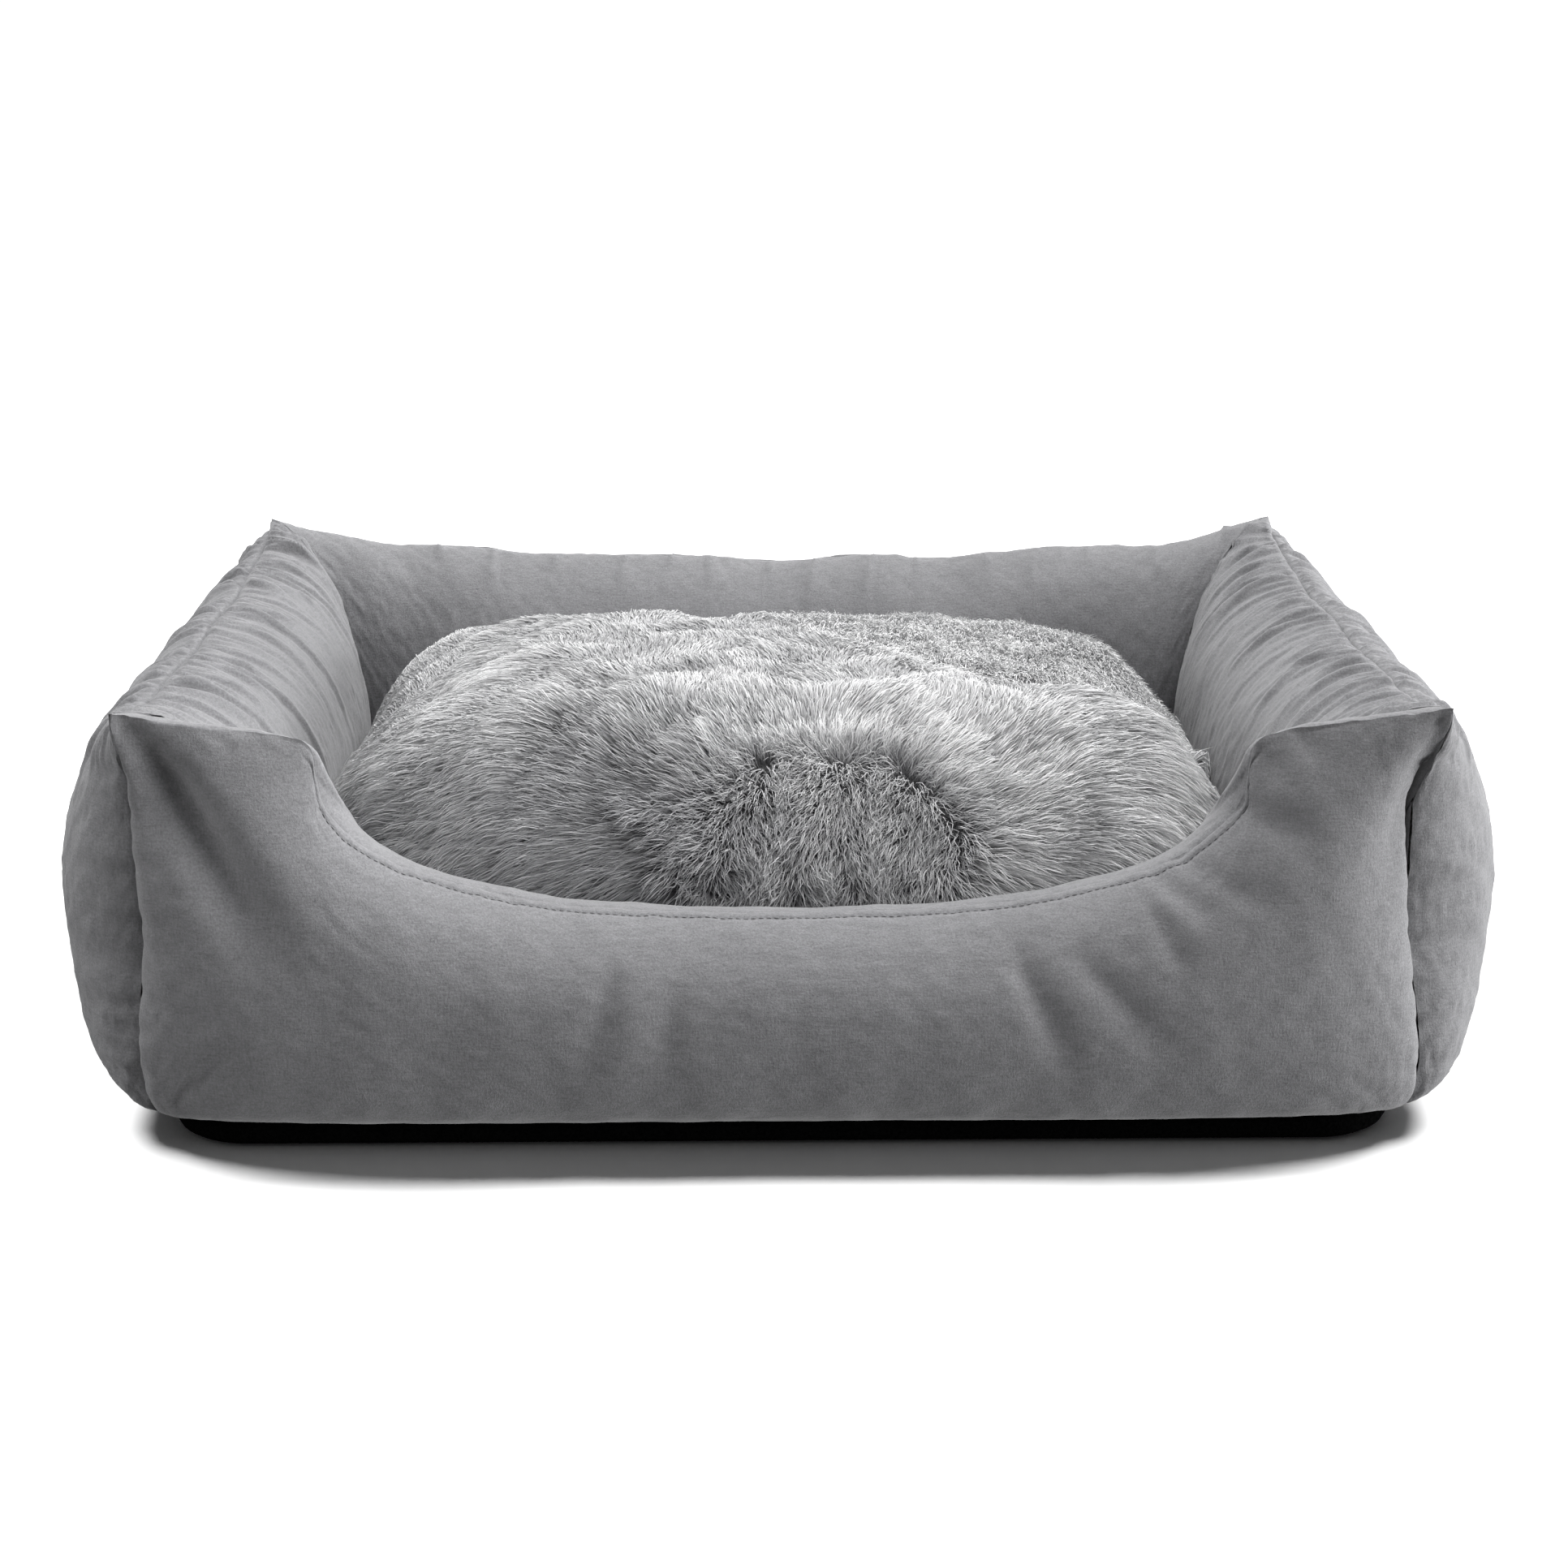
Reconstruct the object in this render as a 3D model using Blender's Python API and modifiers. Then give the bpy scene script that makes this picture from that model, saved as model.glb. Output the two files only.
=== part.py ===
"""Bolster pet bed with a loose fur cushion.

Four stuffed walls meet at mitred corners and stand on a thin padded base. Each wall is an
outer and an inner cloth panel sewn together along the top, round a loose filling, and the
four mitres are closed by cloth dividers. The front wall is scooped out for the way in. A
fur-topped cushion with its own zip lies in the tray between the walls and lifts out.

Metres, +Z up, the front faces -Y, and the origin is on the ground under the middle.
"""
import math

import bmesh
import bpy

# Overall sizes
PEAK_SPAN_X = 0.780      # corner peak to corner peak, side to side
PEAK_SPAN_Y = 0.600      # corner peak to corner peak, front to back
PEAK_HEIGHT = 0.270      # top of the corner peaks above the ground
SIDE_HEIGHT = 0.247      # top of the side walls at mid length
REAR_HEIGHT = 0.241      # top of the rear wall at mid length
SIDE_BULGE = 0.060       # side walls swell this far past the corner seams
END_BULGE = 0.033        # front and rear walls swell this far past them
WALL_DEPTH = 0.088       # from a corner seam in to the widest part of the wall's inner face
CORNER_DEPTH = 0.080     # the same, measured along the mitre at a corner
SIDE_WIDEST = 0.150      # height at which each wall swells most
REAR_WIDEST = 0.130
FRONT_WIDEST = 0.085
CORNER_WIDEST = 0.110

# The way in
SCOOP_WIDTH = 0.552      # between the two horns of the front wall
SCOOP_HEIGHT = 0.141     # lowest point of the scooped edge
HORN_HEIGHT = 0.252      # top of each horn
SCOOP_POWER = 2.5        # roundness of the scooped edge, 2 would be an ellipse
SCOOP_SEAM_IN = 0.018    # the scooped seam lies this far in from the corner seams

# Cloth and clearances
CLOTH = 0.0015           # upholstery cloth with its lining
DIVIDER = 0.0012         # cloth wall inside each mitre
GAP = 0.0003             # between pieces that touch
FILL_GAP = 0.0025        # between a wall's cloth and its filling
FILL_DROP = 0.006        # the filling has settled this far below the top seam
SEAM_STEP = 0.0035       # the inner panel starts this far below the top seam

# Base
BASE_IN_X = 0.015        # the base's edge lies this far inside the side corner seams
BASE_OUT_Y = 0.006       # and this far outside the front and rear ones
BASE_CORNER = 0.050      # corner radius in plan
UNDERSIDE_CLOTH = 0.0010
PAD = 0.0135             # foam board
FLOOR_CLOTH = 0.0010
FOOT_IN = 0.004          # outer panels are sewn on this far in from the base's edge
CORNER_FOOT = 0.020      # and this far in from the corner seam at a mitre
INNER_FOOT = 0.072       # inner panels meet the floor this far in from the corner seams

# Cushion
CUSHION_CLEARANCE_X = 0.002
CUSHION_CLEARANCE_Y = 0.005
CUSHION_TOP = 0.226
CUSHION_SEAM = 0.092     # height of the seam between the fur and the underside
CUSHION_CORNER = 0.085   # corner radius in plan
FUR_BACKING = 0.0030
CUSHION_CLOTH = 0.0015

# Cushion zip, in the rear wall of the underside
ZIP_LENGTH = 0.360
ZIP_HEIGHT = 0.062       # centre line above the ground
ZIP_SLOT = 0.007         # cloth edges stand this far apart over the teeth
ZIP_TAPE = 0.0006        # thickness of each tape
ZIP_TAPE_WIDTH = 0.012
ZIP_TEETH_WIDTH = 0.0052
ZIP_TEETH = 0.0011
SLIDER_LENGTH = 0.012
SLIDER_WIDTH = 0.0095
SLIDER_THICK = 0.0026
ZIP_POCKET = 0.0040      # the filling stands back this far behind the zip

# Mesh density
ARC_STEPS = 9            # steps up one side of a wall's section
PLAIN_STATIONS = (0.0, 0.3, 0.54, 0.71, 0.83, 0.905, 0.955, 1.0)
SCOOP_SHARES = (0.0, 0.23, 0.44, 0.62, 0.765, 0.865, 0.935, 0.978, 1.0)
HORN_SHARES = (0.08, 0.32, 0.58, 0.75, 0.88, 1.0)
CUSHION_LEVELS = 7
CORNER_STEPS = 5

# Heights that follow
PAD_BOTTOM = UNDERSIDE_CLOTH + GAP
PAD_TOP = PAD_BOTTOM + PAD
UNDERSIDE_TOP = PAD_TOP
FLOOR_BOTTOM = PAD_TOP + GAP
FLOOR_TOP = FLOOR_BOTTOM + FLOOR_CLOTH
WALL_BOTTOM = FLOOR_TOP + GAP

HALF_X = PEAK_SPAN_X / 2
HALF_Y = PEAK_SPAN_Y / 2
BASE_X = PEAK_SPAN_X - 2 * BASE_IN_X
BASE_Y = PEAK_SPAN_Y + 2 * BASE_OUT_Y
SCOOP_END = SCOOP_WIDTH / PEAK_SPAN_X      # a horn's station along the front wall
MITRE_GAP = (DIVIDER / 2 + GAP) * math.sqrt(2)
CUSHION_HALF_X = HALF_X - WALL_DEPTH - CUSHION_CLEARANCE_X
CUSHION_HALF_Y = HALF_Y - WALL_DEPTH - CUSHION_CLEARANCE_Y

GREY_WEAVE = ((0.155, 0.155, 0.157), 0.9)
GREY_LINING = ((0.180, 0.180, 0.182), 0.9)
BLACK_CLOTH = ((0.010, 0.010, 0.011), 0.8)
FOAM = ((0.62, 0.60, 0.52), 0.95)
WADDING = ((0.80, 0.80, 0.78), 1.0)
FUR = ((0.330, 0.330, 0.335), 0.85)
NYLON = ((0.090, 0.090, 0.092), 0.5)
ZINC = ((0.420, 0.420, 0.430), 0.35)


def lerp(start, end, share):
    return start + (end - start) * share


# Scene set-up

def clear_scene():
    for obj in list(bpy.data.objects):
        bpy.data.objects.remove(obj, do_unlink=True)


def make_collection(name):
    collection = bpy.data.collections.new(name)
    bpy.context.scene.collection.children.link(collection)
    return collection


def make_material(name, look, metallic=0.0):
    colour, roughness = look
    material = bpy.data.materials.new(name)
    material.use_nodes = True
    shader = material.node_tree.nodes["Principled BSDF"]
    shader.inputs["Base Color"].default_value = (*colour, 1.0)
    shader.inputs["Roughness"].default_value = roughness
    shader.inputs["Metallic"].default_value = metallic
    material.diffuse_color = (*colour, 1.0)
    return material


def add_object(name, mesh_data, look, collection, location=(0, 0, 0), metallic=0.0):
    """Turn a bmesh into a named object with its own material, closed faces pointing out."""
    bmesh.ops.recalc_face_normals(mesh_data, faces=mesh_data.faces)
    mesh = bpy.data.meshes.new(name)
    mesh_data.to_mesh(mesh)
    mesh_data.free()
    mesh.materials.append(make_material(name + "_material", look, metallic))
    mesh.shade_smooth()
    mesh.set_sharp_from_angle(angle=math.radians(40))
    obj = bpy.data.objects.new(name, mesh)
    obj.location = location
    collection.objects.link(obj)
    return obj


def loft(rings):
    """Skin equal closed rings one after another and cap both ends."""
    mesh_data = bmesh.new()
    loops = [[mesh_data.verts.new(point) for point in ring] for ring in rings]
    count = len(loops[0])
    for low, high in zip(loops, loops[1:]):
        for i in range(count):
            j = (i + 1) % count
            mesh_data.faces.new((low[i], low[j], high[j], high[i]))
    mesh_data.faces.new(loops[0])
    mesh_data.faces.new(loops[-1])
    return mesh_data


def rounded_slab(size_x, size_y, bottom, top, radius):
    """A box with its four upright edges rounded."""
    mesh_data = bmesh.new()
    bmesh.ops.create_cube(mesh_data, size=1.0)
    for vert in mesh_data.verts:
        vert.co.x *= size_x
        vert.co.y *= size_y
        vert.co.z = top if vert.co.z > 0 else bottom
    upright = [edge for edge in mesh_data.edges
               if abs(edge.verts[0].co.z - edge.verts[1].co.z) > (top - bottom) / 2]
    bmesh.ops.bevel(mesh_data, geom=upright, offset=radius, segments=8, profile=0.5,
                    affect="EDGES")
    return mesh_data


def cut(obj, cutter):
    """Subtract the cutter and hide it."""
    modifier = obj.modifiers.new("cut_" + cutter.name, "BOOLEAN")
    modifier.operation = "DIFFERENCE"
    modifier.object = cutter
    cutter.hide_render = True
    cutter.display_type = "WIRE"


# Wall sections: u runs in from the corner seams towards the tray, z is height

def arc_side(reach, widest, foot, top_u, top_z):
    """One side of a wall from its foot to the top seam, reaching out most at `widest`."""
    points = []
    for i in range(ARC_STEPS + 1):
        angle = lerp(-math.pi / 2, math.pi / 2, i / ARC_STEPS)
        rise = math.sin(angle)
        if rise < 0:
            z = widest + (widest - WALL_BOTTOM) * rise
            swell = max(math.cos(angle), 0.0) ** 0.62
            u = lerp(foot, reach, swell)
        else:
            z = widest + (top_z - widest) * rise
            swell = max(math.cos(angle), 0.0) ** 1.1
            u = lerp(top_u, reach, swell)
        points.append((u, z))
    return points


def offset_line(points, distance):
    """Move a side line sideways, to +u for a positive distance, and keep its foot's height."""
    moved = []
    for i, (u, z) in enumerate(points):
        before = points[max(i - 1, 0)]
        after = points[min(i + 1, len(points) - 1)]
        du = after[0] - before[0]
        dz = after[1] - before[1]
        length = math.hypot(du, dz)
        moved.append((u + distance * dz / length, z - distance * du / length))
    moved[0] = (points[0][0] + 2 * distance, points[0][1])
    return moved


def swell_share(t):
    """How far a wall's outside has swollen at station t, 0 at a mitre and 1 at mid length."""
    return max(1 - abs(t) ** 4, 0.0) ** 0.38


def scoop_top(s):
    """Height of the front wall's top edge at a distance s from the middle."""
    half = SCOOP_WIDTH / 2
    share = abs(s) / half
    if share < 1:
        dip = (1 - share ** SCOOP_POWER) ** (1 / SCOOP_POWER)
        return HORN_HEIGHT - (HORN_HEIGHT - SCOOP_HEIGHT) * dip
    return lerp(HORN_HEIGHT, PEAK_HEIGHT, (abs(s) - half) / (HALF_X - half))


def scoop_stations():
    """Stations close together up the steep ends of the scoop, then out along the horns."""
    inside = [share * SCOOP_END for share in SCOOP_SHARES]
    return inside + [lerp(SCOOP_END, 1.0, share) for share in HORN_SHARES]


def plain_top(height, power):
    return lambda t: lerp(height, PEAK_HEIGHT, abs(t) ** power)


# What one ring of each piece takes from the outer and inner lines of a wall's section

def outer_shape(outer, inner):
    return outer + offset_line(outer, CLOTH)[::-1]


def inner_shape(outer, inner):
    start = inner[-1]
    before = inner[-2]
    share = SEAM_STEP / math.dist(start, before)
    line = inner[:-1] + [(lerp(start[0], before[0], share), lerp(start[1], before[1], share))]
    return line + offset_line(line, -CLOTH)[::-1]


def lining_shape(outer, inner):
    """The inside faces of the two cloth panels, as one line over the top."""
    return offset_line(outer, CLOTH) + offset_line(inner, -CLOTH)[-2::-1]


def fill_shape(outer, inner):
    inset = CLOTH + FILL_GAP
    outer_in = offset_line(outer, inset)
    inner_in = offset_line(inner, -inset)
    top_u = (outer_in[-2][0] + inner_in[-2][0]) / 2
    top_z = min(outer_in[-2][1], inner_in[-2][1]) + 0.3 * (outer[-1][1] - outer[-2][1])
    return outer_in[:-1] + [(top_u, top_z)] + inner_in[-2::-1]


class Wall:
    """One stuffed wall: where it stands, how it swells and how high its top edge is."""

    def __init__(self, name, half_length, distance, bulge, widest, base_half, top, stations):
        self.name = name
        self.half_length = half_length
        self.distance = distance
        self.bulge = bulge
        self.widest = widest
        self.foot = distance - base_half + FOOT_IN
        self.top = top
        self.stations = [-t for t in reversed(stations[1:])] + list(stations)
        self.scooped = name == "front"

    def seam_u(self, t):
        """The scooped seam lies further in than the corners' seams."""
        if self.scooped:
            return SCOOP_SEAM_IN * max(1 - (abs(t) / SCOOP_END) ** 6, 0)
        return 0.0

    def sides(self, t, drop=0.0):
        """Outer and inner lines of the section at station t, its top lowered by `drop`."""
        share = swell_share(t)
        seam = self.seam_u(t)
        foot = lerp(CORNER_FOOT, self.foot, share)
        depth = lerp(CORNER_DEPTH, WALL_DEPTH, 1 - t * t)
        widest = lerp(self.widest, CORNER_WIDEST, t ** 6)
        top = self.top(t) - drop
        outer = arc_side(-self.bulge * share, widest, foot, seam, top)
        inner = arc_side(depth, widest, INNER_FOOT, seam, top)
        return outer, inner

    def place(self, t, u, z, corner_u):
        """World point at station t, sliding along the wall so that its ends lie on the mitres."""
        s = t * (self.half_length - MITRE_GAP) - t ** 3 * corner_u
        if self.name == "front":
            return (s, u - self.distance, z)
        if self.name == "rear":
            return (s, self.distance - u, z)
        if self.name == "left":
            return (u - self.distance, s, z)
        return (self.distance - u, s, z)

    def rings(self, shape, guide, stations, drop=0.0):
        """Closed rings of one piece. The guide line says where each point meets the mitre."""
        corner = guide(*self.sides(1.0))
        rings = []
        for t in stations:
            rings.append([self.place(t, u, z, corner_u)
                          for (u, z), (corner_u, _) in zip(shape(*self.sides(t, drop)), corner)])
        return rings


def make_walls():
    base_x = BASE_X / 2
    base_y = BASE_Y / 2
    rear_top = plain_top(REAR_HEIGHT, 3.3)
    side_top = plain_top(SIDE_HEIGHT, 4)
    return (
        Wall("front", HALF_X, HALF_Y, END_BULGE, FRONT_WIDEST, base_y,
             lambda t: scoop_top(t * HALF_X), scoop_stations()),
        Wall("rear", HALF_X, HALF_Y, END_BULGE, REAR_WIDEST, base_y, rear_top, PLAIN_STATIONS),
        Wall("left", HALF_Y, HALF_X, SIDE_BULGE, SIDE_WIDEST, base_x, side_top, PLAIN_STATIONS),
        Wall("right", HALF_Y, HALF_X, SIDE_BULGE, SIDE_WIDEST, base_x, side_top, PLAIN_STATIONS),
    )


def build_wall(wall, bed):
    """Two cloth panels, and loose filling that stops short of the narrow corner tips."""
    outer = wall.rings(outer_shape, outer_shape, wall.stations)
    add_object(wall.name + "_outer_panel", loft(outer), GREY_WEAVE, bed)
    inner = wall.rings(inner_shape, inner_shape, wall.stations)
    add_object(wall.name + "_inner_panel", loft(inner), GREY_WEAVE, bed)
    fill = wall.rings(fill_shape, lining_shape, wall.stations[1:-1], FILL_DROP)
    add_object(wall.name + "_wall_fill", loft(fill), WADDING, bed)


def build_divider(name, side_x, side_y, wall, bed):
    """A cloth wall standing in one mitre, shaped like the end of the stuffed walls."""
    outer, inner = wall.sides(1.0)
    outline = outer + inner[-2::-1]
    across = DIVIDER / 2 / math.sqrt(2)
    rings = []
    for shift in (-across, across):
        rings.append([(side_x * (HALF_X - u + shift), side_y * (HALF_Y - u - shift), z)
                      for u, z in outline])
    add_object(name, loft(rings), GREY_LINING, bed)


# Base

def build_base(bed, cutters):
    underside = add_object("base_underside",
                           rounded_slab(BASE_X, BASE_Y, 0.0, UNDERSIDE_TOP, BASE_CORNER),
                           BLACK_CLOTH, bed)
    hollow_x = BASE_X - 2 * UNDERSIDE_CLOTH
    hollow_y = BASE_Y - 2 * UNDERSIDE_CLOTH
    hollow = add_object("base_hollow",
                        rounded_slab(hollow_x, hollow_y, UNDERSIDE_CLOTH, 2 * UNDERSIDE_TOP,
                                     BASE_CORNER - UNDERSIDE_CLOTH),
                        BLACK_CLOTH, cutters)
    cut(underside, hollow)
    add_object("base_pad",
               rounded_slab(hollow_x - 2 * GAP, hollow_y - 2 * GAP, PAD_BOTTOM, PAD_TOP,
                            BASE_CORNER - UNDERSIDE_CLOTH - GAP),
               FOAM, bed)
    add_object("base_floor_panel",
               rounded_slab(BASE_X, BASE_Y, FLOOR_BOTTOM, FLOOR_TOP, BASE_CORNER),
               GREY_LINING, bed)


# Cushion

def cushion_ring(scale, inset, z):
    """A rounded rectangle, scaled about the middle or drawn in by an even inset."""
    half_x = CUSHION_HALF_X * scale - inset
    half_y = CUSHION_HALF_Y * scale - inset
    radius = max(CUSHION_CORNER * scale - inset, 0.004)
    points = []
    for quarter, (sx, sy) in enumerate(((1, 1), (-1, 1), (-1, -1), (1, -1))):
        for i in range(CORNER_STEPS + 1):
            angle = (quarter + i / CORNER_STEPS) * math.pi / 2
            points.append((sx * (half_x - radius) + radius * math.cos(angle),
                           sy * (half_y - radius) + radius * math.sin(angle), z))
    return points


def dome_rings(inset, bottom, top):
    """Rings from the seam up to the crown of the dome."""
    rings = []
    for i in range(CUSHION_LEVELS):
        angle = math.pi / 2 * i / (CUSHION_LEVELS - 0.5)
        rings.append(cushion_ring(math.cos(angle) ** 0.55, inset,
                                  lerp(bottom, top, math.sin(angle))))
    return rings


def bowl_rings(inset, bottom, top):
    """Rings from the flat bottom up round the lower edge to the seam."""
    edge = 0.030
    rings = []
    for angle in (0, 30, 60, 90):
        turn = math.radians(angle)
        rings.append(cushion_ring(1.0, inset + edge * (1 - math.sin(turn)),
                                  bottom + (edge - inset) * (1 - math.cos(turn))))
    rings.append(cushion_ring(1.0, inset, top))
    return rings


def build_cushion(bed, cutters):
    bottom = FLOOR_TOP + GAP
    fur_bottom = CUSHION_SEAM + GAP
    outside = dome_rings(0.0, fur_bottom, CUSHION_TOP)
    inside = dome_rings(FUR_BACKING, fur_bottom, CUSHION_TOP - FUR_BACKING)
    add_object("cushion_fur_top", loft(outside[::-1] + inside), FUR, bed)

    outside = bowl_rings(0.0, bottom, CUSHION_SEAM)
    inside = bowl_rings(CUSHION_CLOTH, bottom + CUSHION_CLOTH, CUSHION_SEAM)
    underside = add_object("cushion_underside", loft(outside + inside[::-1]), GREY_LINING, bed)
    slot = rounded_slab(ZIP_LENGTH, 4 * CUSHION_CLOTH, -ZIP_SLOT / 2, ZIP_SLOT / 2,
                        CUSHION_CLOTH)
    slot = add_object("zip_slot", slot, GREY_LINING, cutters,
                      (0, CUSHION_HALF_Y, ZIP_HEIGHT))
    cut(underside, slot)

    fill_inset = FUR_BACKING + GAP
    fill_bottom = bottom + CUSHION_CLOTH + GAP
    fill = bowl_rings(fill_inset, fill_bottom, CUSHION_SEAM)
    fill += dome_rings(fill_inset, CUSHION_SEAM + 2 * GAP, CUSHION_TOP - fill_inset)
    add_object("cushion_fill", loft(fill), WADDING, bed)
    pocket = rounded_slab(ZIP_LENGTH + 0.020, 2 * ZIP_POCKET, -0.020, 0.020, CUSHION_CLOTH)
    pocket = add_object("zip_pocket", pocket, WADDING, cutters,
                        (0, CUSHION_HALF_Y - fill_inset, ZIP_HEIGHT))
    cut(bpy.data.objects["cushion_fill"], pocket)


def strip(length, thick, width):
    """A plain flat strip lying in the rear wall of the cushion."""
    mesh_data = bmesh.new()
    bmesh.ops.create_cube(mesh_data, size=1.0)
    bmesh.ops.scale(mesh_data, vec=(length, thick, width), verts=mesh_data.verts)
    return mesh_data


def build_zip(bed):
    """Two tapes behind the cloth, the teeth between them, and a slider over the teeth."""
    tape_y = CUSHION_HALF_Y - CUSHION_CLOTH - GAP - ZIP_TAPE / 2
    tape_z = GAP / 2 + ZIP_TAPE_WIDTH / 2
    tape_length = ZIP_LENGTH + 0.012
    for name, side in (("zip_upper_tape", 1), ("zip_lower_tape", -1)):
        add_object(name, strip(tape_length, ZIP_TAPE, ZIP_TAPE_WIDTH), NYLON, bed,
                   (0, tape_y, ZIP_HEIGHT + side * tape_z))
    teeth_y = tape_y + ZIP_TAPE / 2 + GAP + ZIP_TEETH / 2
    add_object("zip_teeth", strip(ZIP_LENGTH - 0.004, ZIP_TEETH, ZIP_TEETH_WIDTH), NYLON, bed,
               (0, teeth_y, ZIP_HEIGHT))
    slider_y = max(teeth_y + ZIP_TEETH / 2, CUSHION_HALF_Y) + GAP + SLIDER_THICK / 2
    slider = add_object("zip_slider", strip(SLIDER_LENGTH, SLIDER_THICK, SLIDER_WIDTH),
                        ZINC, bed, (slider_rest_x(), slider_y, ZIP_HEIGHT), metallic=1.0)
    edge = slider.modifiers.new("rounded_edges", "BEVEL")
    edge.width = SLIDER_THICK * 0.35
    edge.segments = 2


def slider_rest_x():
    """The closed end of the zip."""
    return -(ZIP_LENGTH - SLIDER_LENGTH) / 2 + 0.006


def main():
    clear_scene()
    bed = make_collection("pet_cushion_bed")
    cutters = make_collection("cutters")
    build_base(bed, cutters)
    walls = make_walls()
    for wall in walls:
        build_wall(wall, bed)
    corners = (("front_left_divider", -1, -1), ("front_right_divider", 1, -1),
               ("rear_left_divider", -1, 1), ("rear_right_divider", 1, 1))
    for name, side_x, side_y in corners:
        build_divider(name, side_x, side_y, walls[1], bed)
    build_cushion(bed, cutters)
    build_zip(bed)


main()
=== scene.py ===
# %% [markdown]
# # A stuffed-wall pet bed with a loose fur cushion
#
# Four long bolsters of brushed grey cloth are sewn together at mitred corners and stand on
# a thin black base. A cushion with a long fur top lies in the tray. This notebook dresses
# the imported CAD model: every soft solid gets a sewn, stuffed and textured stand-in that
# fills the same space. First come the tools and the frame that everything is placed in.

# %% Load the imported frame
import math

import bmesh
import bpy
import numpy as np
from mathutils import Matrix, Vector
from mathutils.bvhtree import BVHTree
from mathutils.kdtree import KDTree


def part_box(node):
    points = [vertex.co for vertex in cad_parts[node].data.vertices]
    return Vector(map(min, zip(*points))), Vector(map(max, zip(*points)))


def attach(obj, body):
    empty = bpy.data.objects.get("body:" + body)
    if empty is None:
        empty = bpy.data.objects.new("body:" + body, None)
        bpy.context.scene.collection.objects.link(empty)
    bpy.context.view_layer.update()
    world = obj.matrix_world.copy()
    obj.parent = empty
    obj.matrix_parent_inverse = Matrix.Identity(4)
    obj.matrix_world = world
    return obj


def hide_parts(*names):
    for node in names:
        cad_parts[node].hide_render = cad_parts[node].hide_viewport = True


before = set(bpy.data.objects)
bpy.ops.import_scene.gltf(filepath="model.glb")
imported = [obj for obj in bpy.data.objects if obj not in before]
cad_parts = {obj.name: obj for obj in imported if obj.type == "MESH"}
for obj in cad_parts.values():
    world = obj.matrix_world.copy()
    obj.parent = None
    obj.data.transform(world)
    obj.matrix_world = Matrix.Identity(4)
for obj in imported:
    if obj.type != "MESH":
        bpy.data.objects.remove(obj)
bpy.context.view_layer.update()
scene = bpy.context.scene
chance = np.random.default_rng(7)

# %% [markdown]
# ## Sizes
#
# The places come from the CAD nodes' own boxes, so that a change in the CAD moves the
# cloth too. The numbers that shape a wall's section repeat the maker's pattern: how far a
# wall swells, where it swells most, and how the way in is scooped. All are metres.

# %% Sizes read from the frame, and the wall pattern
PEAK_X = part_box("front_right_divider")[1].x
PEAK_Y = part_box("rear_right_divider")[1].y
PEAK_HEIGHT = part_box("front_left_divider")[1].z
WALL_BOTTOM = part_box("front_left_divider")[0].z
FLOOR_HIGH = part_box("base_floor_panel")[1]
BASE_LOW, BASE_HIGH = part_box("base_underside")
CUSHION_LOW, CUSHION_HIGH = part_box("cushion_underside")
FUR_SEAM = CUSHION_HIGH.z
CUSHION_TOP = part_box("cushion_fur_top")[1].z
CUSHION_X = CUSHION_HIGH.x
CUSHION_Y = CUSHION_HIGH.y

SIDE_HEIGHT = 0.247         # top seams at mid length
REAR_HEIGHT = 0.241
SIDE_BULGE = 0.060          # how far the walls swell outward past their peaks
END_BULGE = 0.033
WALL_DEPTH = 0.088          # how far they swell inward at mid length, and at a corner
CORNER_DEPTH = 0.080
CORNER_WIDEST = 0.110       # height of the widest place at a corner
SCOOP_HALF = 0.276
SCOOP_HEIGHT = 0.141
SCOOP_POWER = 2.5           # 2 would be an ellipse, more is squarer
SCOOP_SEAM_IN = 0.018       # how far inward the scooped seam lies
HORN_HEIGHT = 0.252
CORNER_FOOT = 0.020         # how far inward a wall's foot lies at a corner, and inside
INNER_FOOT = 0.072
MITRE_GAP = 0.0004
print("peaks at", round(PEAK_X, 4), round(PEAK_Y, 4), "height", round(PEAK_HEIGHT, 4))

# %% [markdown]
# ## Camera and light
#
# The bed is seen from the front, a little above, from nearly two metres away through a
# moderately long lens. It stands in a white studio sweep. Large lamps would do, but suns
# with a wide angle are as soft and light all sides of the bed alike. The object's lights
# are linked to everything but the floor, and two narrower ones to the floor alone: they
# bleach it to paper white and leave a tight, dark contact shadow. The floor also stays out
# of the bounced light, so that the cloth keeps its own greys under the front edge.

# %% Camera
camera_data = bpy.data.cameras.new("camera")
camera_data.lens = 65.2
camera_data.sensor_width = 36.0
camera_data.clip_start = 0.05
camera = bpy.data.objects.new("camera", camera_data)
camera.location = (-0.026, -1.896, 0.686)
camera.rotation_euler = (math.radians(90 - 16.08), 0.0, math.radians(-0.94))
scene.collection.objects.link(camera)
scene.camera = camera
scene.view_settings.view_transform = "Standard"
print("camera", [round(x, 3) for x in camera.location])

# %% A node, with its settings and links, in one call
def add_node(tree, kind, settings=None, links=None):
    """Add a node, set its properties or input values, and link outputs into its inputs."""
    node = tree.nodes.new("ShaderNode" + kind)
    for name, value in (settings or {}).items():
        if isinstance(name, int) or name in node.inputs:
            node.inputs[name].default_value = value
        else:
            setattr(node, name, value)
    for name, source in (links or {}).items():
        tree.links.new(source, node.inputs[name])
    return node


def linear(hex_code):
    """An sRGB hex colour as linear red, green, blue and full opacity."""
    channels = [int(hex_code[i:i + 2], 16) / 255 for i in (1, 3, 5)]
    return tuple(c / 12.92 if c <= 0.04045 else ((c + 0.055) / 1.055) ** 2.4
                 for c in channels) + (1.0,)


print("mid grey #808080 is", round(linear("#808080")[0], 3), "in linear light")

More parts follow.
